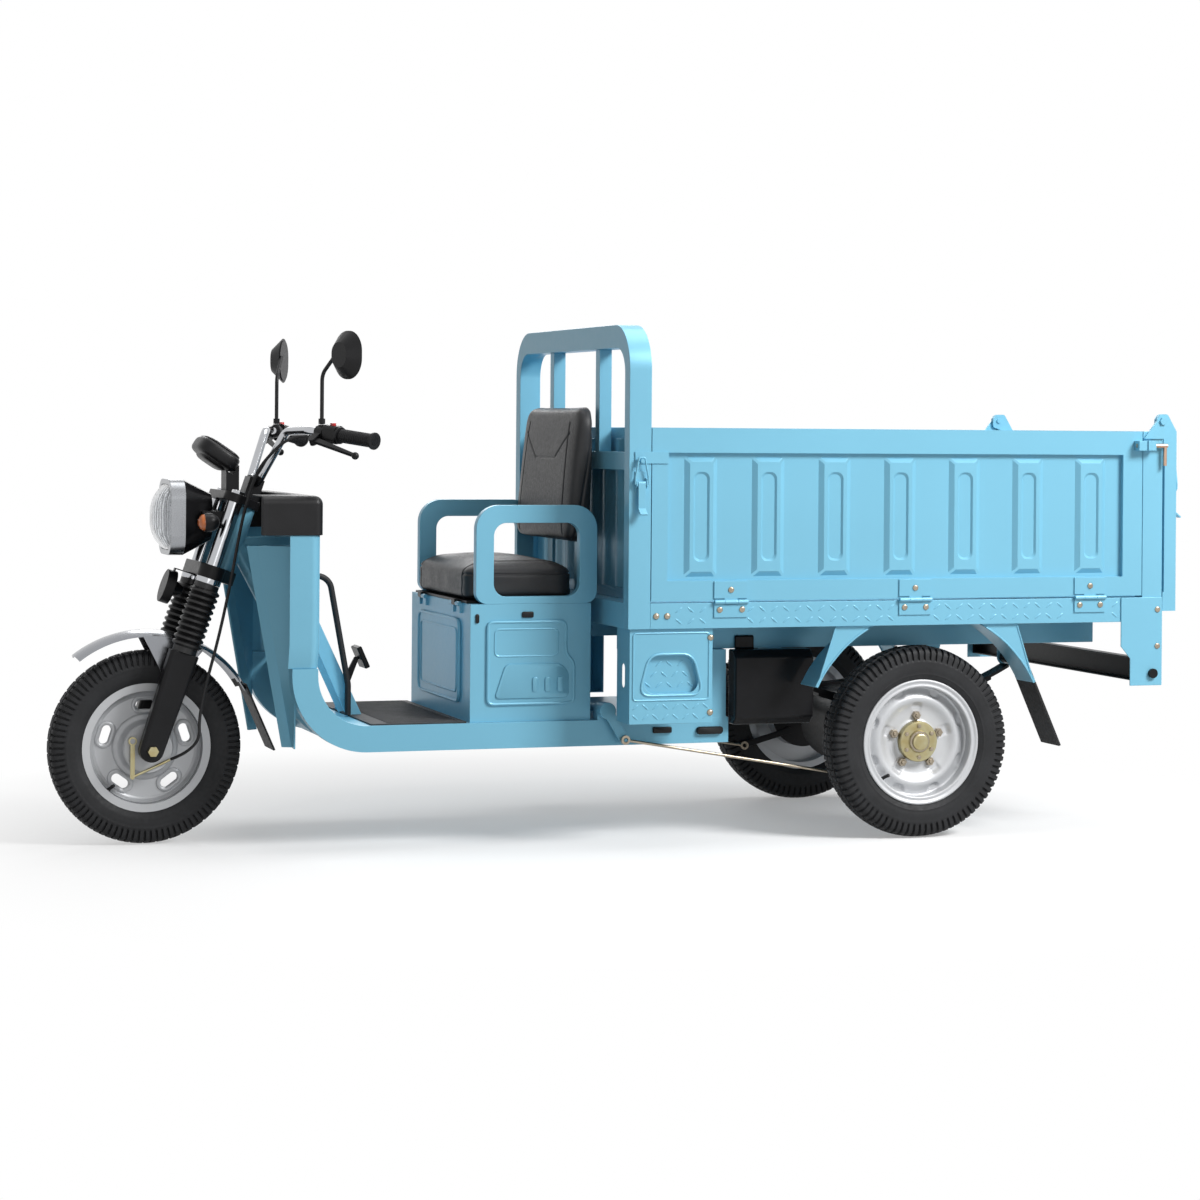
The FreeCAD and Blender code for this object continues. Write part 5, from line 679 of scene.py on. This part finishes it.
# Wheels
window_count, window_circle, window_half, window_high, window_bead = 5, 0.108, 0.0305, 0.018, 0.0058
front_face = 0.006
centre = (front_x, 0, front_radius)
bm = bmesh.new()
for side in (-1, 1):
    for c, s in circle(window_count):
        loop = [(front_x + u * c + (v + window_circle) * s, side * (front_face + 0.0005),
                 front_radius - u * s + (v + window_circle) * c) for u, v in oval(window_half, window_high)]
        bead(bm, loop, window_bead)
    lathe(bm, [(0.1462, 0.0045), (0.1462, 0.018), (0.143, 0.0215), (0.14, 0.0175), (0.1375, 0.01),
               (0.1335, 0.0075), (0.13, 0.0065), (0.128, 0.0045)], centre, side, 96)
    lathe(bm, [(0.087, 0.0045), (0.085, 0.0075), (0.08, 0.012), (0.0745, 0.0135), (0.07, 0.018),
               (0.0655, 0.0255), (0.0622, 0.033), (0.061, 0.033)], centre, side, 72)
    lathe(bm, [(0.0622, 0.046), (0.0632, 0.048), (0.0632, 0.0515), (0.06, 0.0535), (0.052, 0.0535),
               (0.05, 0.0525), (0.03, 0.0525), (0.028, 0.0515)], centre, side, 72)
piece("front_wheel_pressings", bm, "front_wheel", "silver_paint", silver)
valve_circle = 0.147


def valve(bm, centre, angle, y, side):
    """A rubber valve that comes out of the rim towards the hub, its end bent outwards."""
    inward = Vector((-cos(angle), 0, -sin(angle)))
    root = Vector((centre[0], y, centre[1])) - inward * valve_circle
    path = [root + inward * along + Vector((0, side * out, 0))
            for along, out in ((0, 0), (0.006, 0), (0.01, 0.003), (0.015, 0.009), (0.02, 0.016))]
    sweep(bm, path, lambda t: 0.0052 - 0.0018 * t if t < 0.7 else 0.0046, 12)


bm = bmesh.new()
valve(bm, (front_x, front_radius), radians(228), -0.026, -1)
piece("front_valve", bm, "front_wheel", "rubber", rubber)

# Rear discs: the grid, the pressed forms, then the nuts with their count, circle, radius and height
disc_turns = 200
disc_radii = [0.045 + 0.1008 * k / 42 for k in range(43)]
disc_lift, disc_back = 0.005, 0.002
ring_circle, ring_high, seat_circle, seat_high = 0.113, 0.0135, 0.05, 0.005
dent_depth, hollow_count, hollow_circle, hollow_depth, rim_rise = 0.0045, 8, 0.138, 0.0085, 0.004
lug_count, lug_circle, lug_radius, lug_high = 5, 0.068, 0.0122, 0.0125
cap_count, cap_circle, cap_radius, cap_high = 6, 0.0415, 0.006, 0.0042


def disc_height(radius, angle):
    """How far the disc stands out: a broad ring, the hub's seat, dents beside the lugs, hollows at the windows."""
    def across(count, shift):
        return ((angle / (2 * pi) * count + shift) % 1.0 - 0.5) * 2 * pi / count * radius
    high = 0.0012 + ring_high * bell(radius - ring_circle, 0.019) + seat_high * bell(radius - seat_circle, 0.006)
    dent = (1 - step(0.01, 0.017, abs(across(lug_count, 0.25)))) * step(0.066, 0.072, radius)
    dent *= 1 - step(0.094, 0.106, radius)
    high -= dent_depth * dent * (1 if high > 0.004 else 0.55)
    off = hypot(across(hollow_count, 0.0), radius - hollow_circle)
    high -= hollow_depth * (1 - step(0.0125, 0.0165, off))
    high = max(high, -0.0012) + rim_rise * step(0.142, 0.1458, radius)
    return max(high, 0.0004)


def rear_pressing(side, body):
    """A rear wheel's pressed disc, hub cover with its nuts, rim lip and valve, over the CAD rim."""
    face = track_half + disc_lift

    def at(radius, angle, out):
        return (rear_x + radius * cos(angle), side * (face + out), rear_radius + radius * sin(angle))

    angles = [2 * pi * k / disc_turns for k in range(disc_turns)]
    bm = bmesh.new()
    rows = [[bm.verts.new(at(radius, angle, disc_height(radius, angle))) for angle in angles]
            for radius in disc_radii]
    rows += [[bm.verts.new(at(radius, angle, -disc_back)) for angle in angles]
             for radius in (disc_radii[-1], disc_radii[0])]
    skin(bm, rows, loop=True)
    piece("rear_wheel_pressing_" + body, bm, body, "silver_paint", silver, smooth=50)
    bm = bmesh.new()
    centre = (rear_x, side * face, rear_radius)
    lathe(bm, [(0.053, 0.0), (0.0542, 0.003), (0.0542, 0.0205), (0.0525, 0.0232), (0.049, 0.024),
               (0.03, 0.024), (0.0285, 0.0262), (0.019, 0.0262), (0.018, 0.025), (0.0, 0.025)],
          centre, side, 60)
    for k in range(lug_count):
        angle = pi / 2 + 2 * pi * k / lug_count
        hexagon_nut(bm, at(lug_circle, angle, -0.0005), side, lug_radius, lug_high)
    for k in range(cap_count):
        angle = 2 * pi * (k + 0.5) / cap_count
        hexagon_nut(bm, at(cap_circle, angle, 0.0238), side, cap_radius, cap_high)
    lathe(bm, [(0.028, 0.0255), (0.028, 0.03), (0.0262, 0.0318), (0.0225, 0.032)], centre, side, 48, 1)
    lathe(bm, [(0.0222, 0.029), (0.0222, 0.0368), (0.0205, 0.0388), (0.017, 0.0395), (0.0, 0.0395)],
          centre, side, 40)
    piece("hub_cover_" + body, bm, body, "zinc_gold", [zinc, bronze])
    bm = bmesh.new()
    lathe(bm, [(0.163, 0.0385), (0.1664, 0.0398), (0.1666, 0.042), (0.165, 0.0438), (0.1622, 0.044),
               (0.1598, 0.043), (0.1578, 0.0412), (0.156, 0.0404), (0.153, 0.0404), (0.1508, 0.0414),
               (0.1484, 0.0416), (0.1464, 0.0405), (0.1452, 0.038), (0.145, 0.033), (0.1462, 0.032)],
          (rear_x, side * track_half, rear_radius), side, 128)
    piece("rear_rim_lip_" + body, bm, body, "silver_paint", silver, smooth=50)
    bm = bmesh.new()
    valve(bm, (rear_x, rear_radius), radians(222), side * (face + 0.024), side)
    piece("rear_valve_" + body, bm, body, "rubber", rubber)


rear_pressing(-1, "wheel_left")
rear_pressing(1, "wheel_right")


# Raised tread on the deck edge and the steps
def lozenges(bm, spots, place, long, wide, high):
    """Raised lozenges, each at its (u, v, angle), place turning (u, v, w) into a point."""
    for u, v, angle in spots:
        ca, sa = cos(angle), sin(angle)
        rows = []
        for half_long, half_wide, w in ((0.5, 0.5, -0.0006), (0.31, 0.225, high)):
            flat = [(long * half_long * c, wide * half_wide * s) for c, s in circle(10)]
            rows.append([bm.verts.new(place(u + a * ca - b * sa, v + a * sa + b * ca, w)) for a, b in flat])
        solid(bm, rows)


def slant(number, degrees):
    return radians(degrees if number % 2 else -degrees)


def step_outline(low_half, top_half, border, radius):
    """The step's opening, narrower at the top, with a border round it."""
    return rounded([(step_mid - low_half, hole_low - border), (step_mid + low_half, hole_low - border),
                    (step_mid + top_half, hole_top + border), (step_mid - top_half, hole_top + border)], radius)


hinge_spans = ((0.118, 0.228), (0.638, 0.748), (1.153, 1.263))
deck_start, deck_pitch, deck_columns, deck_rows = -0.035, 0.033, range(2, 41), (0.588, 0.617)
step_mid = 0.0155
hole_low, hole_top = 0.403, 0.499
deck_slant, step_slant = 38, 40
mark_long, mark_wide = 0.026, 0.007
tray_front, tray_floor, tray_back = 0.0034, 0.015, 0.0175
for side, word in ((-1, "left"), (1, "right")):
    def on_step(u, v, w=0.0):
        return (u, side * (step_face + w), v)
    bm = bmesh.new()
    spots = []
    for k in deck_columns:
        x = deck_start + deck_pitch * k
        if not any(start < x < end for start, end in hinge_spans):
            spots += [(x, z, slant(k + row, deck_slant)) for row, z in enumerate(deck_rows)]
    lozenges(bm, spots, lambda u, v, w: (u, side * (bed_half + w), v), 0.027, 0.0075, 0.0014)
    piece("deck_tread_" + word, bm, "chassis", "blue_paint", blue)
    bm = bmesh.new()
    outline = step_outline(0.083, 0.057, 0, 0.03)
    wide = step_outline(0.089, 0.061, 0.005, 0.033)
    rows = [[bm.verts.new(on_step(u, v, -depth)) for u, v in shape]
            for shape, depth in ((wide, tray_front), (outline, tray_front), (outline, tray_floor),
                                 (outline, tray_back), (wide, tray_back))]
    skin(bm, rows[:3])
    skin(bm, rows[3:] + rows[:1])
    bm.faces.new(rows[2])
    bm.faces.new(rows[3])
    spots = []
    for k in range(5):
        for row in range(3):
            u = step_mid + (k - 2) * 0.029 + (0.0145 if row == 1 else 0)
            if abs(u - step_mid) < 0.076 - 0.027 * row / 2:
                spots.append((u, 0.424 + 0.027 * row, slant(k + row, step_slant)))
    lozenges(bm, spots, lambda u, v, w: on_step(u, v, w - tray_floor), mark_long, mark_wide, 0.0014)
    spots = [(-0.082 + 0.0275 * k, 0.343 + 0.026 * row, slant(k + row, step_slant))
             for k in range(8) for row in range(2)]
    lozenges(bm, spots, on_step, mark_long, mark_wide, 0.0013)
    bead(bm, [on_step(u, v) for u, v in step_outline(0.088, 0.06, 0.005, 0.033)], 0.0034)
    bead(bm, [on_step(u, v) for u, v in panel(-0.088, 0.386, 0.119, 0.558, 0.01)], 0.0026)
    piece("step_tread_" + word, bm, "chassis", "blue_paint", blue)


# Headlight: fluted lens in front of a silver bowl
lens_middle = 0.844
lens_half = Vector((0.0818, 0.0843))
lens_rim, lens_dome, lens_wall, lens_rings = -1.206, 0.0382, 0.004, 15


def dome(share):
    return lens_rim - lens_dome * (1 - share ** 2.4)


def lens_ring(bm, x, share):
    return [bm.verts.new((x, u, lens_middle + v)) for u, v in squircle(*(lens_half * share), 72)]


def bowl(bm, place):
    """Rings from the rim to the middle, place giving each ring's x from its share of the rim."""
    rows = [lens_ring(bm, place(share), share) for share in (1 - k / lens_rings for k in range(lens_rings))]
    skin(bm, rows)
    return rows


bm = bmesh.new()
outside = bowl(bm, dome)
inside = bowl(bm, lambda share: dome(share) + lens_wall)
bm.faces.new(outside[-1])
bm.faces.new(inside[-1])
skin(bm, [outside[0], inside[0]])
lens = piece("headlight_glass", bm, "steering", "clear_lens", clear)
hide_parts("headlight_lens")
flute_pitch, flute_radius, flute_back = 0.0098, 0.0026, 0.0045
bm = bmesh.new()
for number in range(-7, 8):
    y = number * flute_pitch
    high = 0.92 * lens_half.y * (1 - (abs(y) / lens_half.x) ** 4) ** 0.25
    path = []
    for k in range(15):
        z = high * (k / 7 - 1)
        share = ((abs(y) / lens_half.x) ** 4 + (abs(z) / lens_half.y) ** 4) ** 0.25
        path.append((dome(share) + flute_back, y, lens_middle + z))
    sweep(bm, path, flute_radius, 6)
piece("headlight_flutes", bm, "steering", "clear_lens", clear)
bowl_rim, bowl_depth, bowl_back = -1.202, 0.03, -1.1705
bm = bmesh.new()
rows = bowl(bm, lambda share: bowl_rim + bowl_depth * (1 - share ** 2))
bm.faces.new(rows[-1])
back_ring = lens_ring(bm, bowl_back, 1)
skin(bm, [rows[0], back_ring])
bm.faces.new(back_ring)
piece("headlight_bowl", bm, "steering", "chrome", bezel_metal)


def pebble(bm, centre, half, axes, power, index=0, across=40, up=20):
    """A rounded box with its half sizes along three axes."""
    rows = []
    for j in range(up + 1):
        b = pi * (j / up - 0.5)
        flat = eased(cos(b), power)
        row = []
        for k in range(across if 0 < j < up else 1):
            a = 2 * pi * k / across
            spot = (half[0] * flat * eased(cos(a), power), half[1] * flat * eased(sin(a), power),
                    half[2] * eased(sin(b), power))
            row.append(bm.verts.new(Vector(centre) + sum((Vector(x) * d for x, d in zip(axes, spot)), Vector())))
        rows.append(row)
    skin(bm, rows, index)


# Turn signals: a round cup on its stalk, with an amber dome in front
low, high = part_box("turn_signals")
signal_x, signal_y, signal_z = low[0] + 0.024, 0.152, (low[2] + high[2]) / 2
signal_radius, dome_radius, stalk_radius = 0.024, 0.0215, 0.0068
bm = bmesh.new()
for side in (-1, 1):
    def along(start, end, count=22):
        return [(signal_x + start + (end - start) * k / count, side * signal_y, signal_z) for k in range(count + 1)]
    sweep(bm, along(-0.021, 0.0), lambda t: dome_radius * max(0.12, 1 - (1 - t) ** 2.6) ** 0.5, 32, index=1)
    sweep(bm, along(-0.005, 0.034),
          lambda t: signal_radius * (1 if t < 0.3 else max(0.05, 1 - ((t - 0.3) / 0.7) ** 2.2) ** 0.5), 32)
    sweep(bm, [(signal_x + 0.018, side * y, signal_z) for y in (0.052, 0.085, 0.118, signal_y)], stalk_radius, 14)
signals = piece("signal_bulbs", bm, body_of["turn_signals"], slot_of["turn_signals"], [black_paint, amber], smooth=50)
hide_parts("turn_signals")

# Instrument cluster: the CAD stalk with a rounded shell, a glossy face and a bead round it
lean = radians(34)
cluster_axes = [Vector(axis) for axis in ((cos(lean), 0, -sin(lean)), (0, 1, 0),
                                          (sin(lean), 0, cos(lean)))]
cluster_centre = Vector((-1.075, 0, 1.007))
stalk_top, stalk_front = 0.985, -1.085
bm = welded("instrument_cluster")
head = [vert for vert in bm.verts if vert.co.z > stalk_top or vert.co.x < stalk_front]
bmesh.ops.delete(bm, geom=head, context="VERTS")
pebble(bm, cluster_centre, (0.06, 0.081, 0.0245), cluster_axes, 0.52)
along, across, up = cluster_axes
pebble(bm, cluster_centre + up * 0.0185, (0.048, 0.068, 0.0085), cluster_axes, 0.42, 1)
pebble(bm, cluster_centre - up * 0.016, (0.04, 0.058, 0.016), cluster_axes, 0.55)
loop = [cluster_centre + along * u + across * v + up * 0.0205 for u, v in squircle(0.0505, 0.0705, 64)]
bead(bm, loop, 0.0028)
cluster = piece("cluster_shell", bm, "steering", "black_plastic", [plastic, gloss_black])
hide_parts("instrument_cluster")


# Seat box pressings, lock, socket and the fittings at the sill's end
box_side, box_front, sill_side = 0.2988, -0.4686, 0.3095
for side, word in ((-1, "left"), (1, "right")):
    def at(u, v, w):
        return (u, side * (box_side + w), v)
    bm = bmesh.new()
    pocket = rounded([(-0.402, 0.38), (-0.199, 0.38), (-0.199, 0.448), (-0.222, 0.47), (-0.372, 0.47)], 0.016)
    slab(bm, pocket, at, 0.0045, 0.004)
    for x in (-0.292, -0.258, -0.224):
        slab(bm, panel(x - 0.008, 0.396, x + 0.008, 0.436, 0.0078), lambda u, v, w: at(u, v, w + 0.004),
             0.004, 0.003)
    border = rounded([(-0.4185, 0.3665), (-0.1845, 0.3665), (-0.1845, 0.4725), (-0.207, 0.4955), (-0.207, 0.5785),
                      (-0.4185, 0.5785)], 0.016)
    bead(bm, [at(u, v, -0.0012) for u, v in border], 0.0042)
    upper = panel(-0.4, 0.49, -0.229, 0.56, 0.014)
    bead(bm, [at(u, v, -0.0008) for u, v in upper], 0.003)
    piece("seat_box_pressing_" + word, bm, "chassis", "blue_paint", blue)
bm = bmesh.new()
for inset, thick in ((0.0, 0.0044), (0.024, 0.003)):
    outline = panel(-0.203 + inset, 0.366 + inset, 0.203 - inset, 0.579 - inset, 0.028 - inset * 0.4)
    bead(bm, [(box_front, u, v) for u, v in outline], thick)
piece("seat_box_front_pressing", bm, "chassis", "blue_paint", blue)
bm = bmesh.new()
for first, last, radius, face, depth, bevel in (
        ((-0.327, 0.589), (-0.295, 0.605), 0.005, 0.295, 0.004, 0.002),
        ((-0.452, 0.576), (-0.442, 0.6), 0.005, 0.295, 0.004, 0.002),
        ((0.152, 0.276), (0.226, 0.296), 0.0095, sill_side, 0.012, 0.005),
        ((0.03, 0.282), (0.082, 0.298), 0.004, sill_side, 0.008, 0.002)):
    slab(bm, panel(*first, *last, radius), lambda u, v, w: (u, -(face + w), v), depth, bevel)
piece("socket_and_lock", bm, "chassis", "black_plastic", plastic)


# Front brake cable, from the lever's perch to the cam rod
cable_radius = 0.004


def nurbs(name, route, radius):
    """The mesh of a smooth curve: a line, or a tube with its ends closed where it has a radius."""
    data = bpy.data.curves.new(name, "CURVE")
    data.dimensions = "3D"
    data.resolution_u = 12
    data.bevel_depth = radius
    data.bevel_resolution = 3
    data.use_fill_caps = radius > 0
    spline = data.splines.new("NURBS")
    spline.points.add(len(route) - 1)
    for point, place in zip(spline.points, route):
        point.co = (*place, 1)
    spline.order_u = 3
    spline.use_endpoint_u = True
    made = linked(name, data)
    bpy.context.view_layer.update()
    mesh = bpy.data.meshes.new_from_object(made.evaluated_get(bpy.context.evaluated_depsgraph_get()))
    bpy.data.objects.remove(made)
    return mesh


cable_route = [(-0.884, -0.2525, 1.0533), (-0.9033, -0.2248, 1.0572), (-0.9525, -0.2146, 1.0373),
               (-1.016, -0.143, 0.94), (-1.075, -0.14, 0.5926), (-1.1414, -0.14, 0.3501),
               (-1.1353, -0.14, 0.2566), (-1.1973, -0.069, 0.2226)]
line = [vert.co.copy() for vert in nurbs("cable_line", cable_route, 0.0).vertices]
cable_length = sum((b - a).length for a, b in zip(line, line[1:]))
bm = bmesh.new()
bm.from_mesh(nurbs("cable_tube", cable_route, cable_radius))
bmesh.ops.remove_doubles(bm, verts=bm.verts, dist=fine_weld)
for face in bm.faces:
    face.smooth = True
cable = placed("brake_cable", bm, rubber)
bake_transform(cable)
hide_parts("front_brake_cable")
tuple(cable_route[0])


# Spring eyes, which stay on the hanger pins
eye_half, eye_edge, spring_side = 0.024, 0.001, 0.26
eye_profile = [(eye_bore, -eye_half), (eye_radius - eye_edge, -eye_half), (eye_radius, eye_edge - eye_half),
               (eye_radius, eye_half - eye_edge), (eye_radius - eye_edge, eye_half), (eye_bore, eye_half),
               (eye_bore, -eye_half)]
bm = bmesh.new()
for side in (-1, 1):
    for end in (-1, 1):
        lathe(bm, eye_profile, (rear_x + end * eye_reach, side * spring_side, eye_z), 1, 28)
bmesh.ops.remove_doubles(bm, verts=bm.verts, dist=fine_weld)
piece("spring_eyes", bm, "chassis", "black_paint", black_paint)

# Ribs of the grips
grip_ribs, grip_first, grip_pitch, grip_radius = 17, 0.012, 0.006, 0.0166
for side, body, word in ((1, "throttle", "right"), (-1, "steering", "left")):
    tip = Vector((-0.7527, side * 0.42, 1.045))
    inward = Vector((-0.5682, -side * 0.8149, 0.1145)).normalized()
    across = inward.cross(Vector((0, 0, 1))).normalized()
    over = inward.cross(across)
    bm = bmesh.new()
    for k in range(grip_ribs):
        centre = tip + inward * (grip_first + grip_pitch * k)
        loop = [centre + (across * c + over * s) * grip_radius for c, s in circle(28)]
        sweep(bm, loop, 0.0012, 6, closed=True)
    piece("grip_ribs_" + word, bm, body, "rubber", rubber)

# Ribs of the floor mat
mat_ribs, rib_half, mat_margin = 22, 0.0055, 0.022
low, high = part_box("floor_mat")
front, back, top = low[0] + 0.045, high[0] - 0.02, high[2] - 0.0004
bm = bmesh.new()
for k in range(mat_ribs):
    y = low[1] + mat_margin + (high[1] - low[1] - 2 * mat_margin) * k / (mat_ribs - 1)
    slab(bm, [(front, y - rib_half), (back, y - rib_half), (back, y + rib_half), (front, y + rib_half)],
         lambda u, v, w: (u, v, top + w), 0.0022, 0.0012)
piece("mat_ribs", bm, "chassis", "rubber", mat_rubber)

# Rolled edges of the wheel-arch brackets, round each large face that looks outwards
plate_area, edge_inset, edge_radius = 0.003, 0.0018, 0.0026
source = welded("arch_brackets", merge=True)
bm = bmesh.new()
for face in source.faces:
    middle = face.calc_center_median()
    if abs(face.normal.y) > 0.99 and face.normal.y * middle.y > 0 and face.calc_area() > plate_area:
        loop = [vert.co + (middle - vert.co).normalized() * edge_inset for vert in face.verts]
        bead(bm, loop, edge_radius)
source.free()
piece("arch_borders", bm, body_of["arch_brackets"], "blue_paint", blue)

# Dome bolts on the deck's corner and on the steps
bolt_profile = [(0.0, -0.001), (0.0085, -0.001), (0.0085, 0.001), (0.0078, 0.0026), (0.006, 0.0042),
                (0.0032, 0.0052), (0.0, 0.0055)]
bm = bmesh.new()
for side in (-1, 1):
    for x, z, y in ((-0.03, 0.602, bed_half), (0.0, 0.602, bed_half), (0.1225, 0.545, step_face),
                    (0.1225, 0.352, step_face)):
        lathe(bm, bolt_profile, (x, side * y, z), side, 20)
piece("deck_corner_bolts", bm, "chassis", "steel", bronze)


# Stage
floor_radius, fade_start, fade_end = 40, 0.95, 2.1
bounce_grey, cloud_grey, white = (0.4, 0.4, 0.4), (0.985, 0.985, 0.985), (1.0, 1.0, 1.0)
world_light = 0.19


def seen_share(tree):
    """1 where the camera sees a place, also in a mirror or through glass, and 0 for bounced light."""
    rays = node(tree, "ShaderNodeLightPath")
    share = rays.outputs["Is Camera Ray"]
    for kind in ("Is Glossy Ray", "Is Transmission Ray"):
        larger = node(tree, "ShaderNodeMath", operation="MAXIMUM")
        tree.links.new(share, larger.inputs[0])
        tree.links.new(rays.outputs[kind], larger.inputs[1])
        share = larger.outputs[0]
    return share


def stage_surface():
    """A pale floor that keeps the shadow, fades to plain white further out, and is grey for bounced light."""
    mat, tree, bsdf = shader("pale_floor")
    bsdf.inputs["Roughness"].default_value = 0.9
    bsdf.inputs["Specular IOR Level"].default_value = 0.1
    coords = node(tree, "ShaderNodeTexCoord")
    seen = seen_share(tree)
    cloud = tinted(tree, noise_at(tree, coords, 3.0), cloud_grey, white)
    shade = tinted(tree, seen, bounce_grey, white)
    tree.links.new(cloud.outputs["Result"], shade.inputs["B"])
    tree.links.new(shade.outputs["Result"], bsdf.inputs["Base Color"])
    far = node(tree, "ShaderNodeVectorMath", operation="LENGTH")
    tree.links.new(coords.outputs["Object"], far.inputs[0])
    share = node(tree, "ShaderNodeMath", operation="MULTIPLY")
    tree.links.new(seen, share.inputs[0])
    tree.links.new(ranged(tree, far.outputs["Value"], 0.3, 1.0, fade_start, fade_end), share.inputs[1])
    glow = node(tree, "ShaderNodeEmission", Strength=1.0)
    mix = node(tree, "ShaderNodeMixShader")
    for source, socket in zip((share, bsdf, glow), mix.inputs):
        tree.links.new(source.outputs[0], socket)
    tree.links.new(mix.outputs[0], tree.nodes["Material Output"].inputs["Surface"])
    return mat


bm = bmesh.new()
bmesh.ops.create_circle(bm, cap_ends=True, segments=96, radius=floor_radius)
floor = placed("floor", bm, stage_surface())

world = bpy.data.worlds.new("studio")
scene.world = world
world.use_nodes = True
tree = world.node_tree
sky = tree.nodes["Background"]
sky.inputs["Color"].default_value = (1, 1, 1, 1)
tree.links.new(ranged(tree, seen_share(tree), world_light, 1.0, 0.0, 1.0), sky.inputs["Strength"])

for name, place, aim, size, power in (
        ("key", (3.6, -4.4, 4.4), (0.2, 0, 0.6), (2.4, 2.0), 500),
        ("top", (1.0, 0.2, 5.0), (0.3, 0, 0.3), (3.4, 3.0), 105),
        ("fill", (-1.6, -5.8, 1.8), (-0.6, 0, 0.6), (2.4, 2.0), 18),
        ("far_side", (0.6, 5.6, 3.4), (0.2, 0, 0.5), (2.6, 2.0), 70)):
    data = bpy.data.lights.new(name, "AREA")
    data.shape = "RECTANGLE"
    data.size, data.size_y = size
    data.energy = power
    lamp = linked(name, data)
    lamp.location = place
    lamp.rotation_euler = (Vector(aim) - Vector(place)).to_track_quat("-Z", "Y").to_euler()

# Camera: level, with the photograph's framing from its shift
camera_yaw, camera_roll = radians(18.5), radians(0.45)
camera_data = bpy.data.cameras.new("camera")
camera_data.lens = 87.0
camera_data.sensor_width = 36.0
camera_data.shift_y = -0.1446
camera_data.clip_end = 200
camera = linked("camera", camera_data)
camera.location = (-2.5245, -7.4899, 1.0867)
level = Matrix.Rotation(-camera_yaw, 3, "Z") @ Matrix.Rotation(pi / 2, 3, "X")
camera.rotation_euler = (level @ Matrix.Rotation(camera_roll, 3, "Z")).to_euler()
scene.camera = camera
scene.view_settings.view_transform = "Standard"
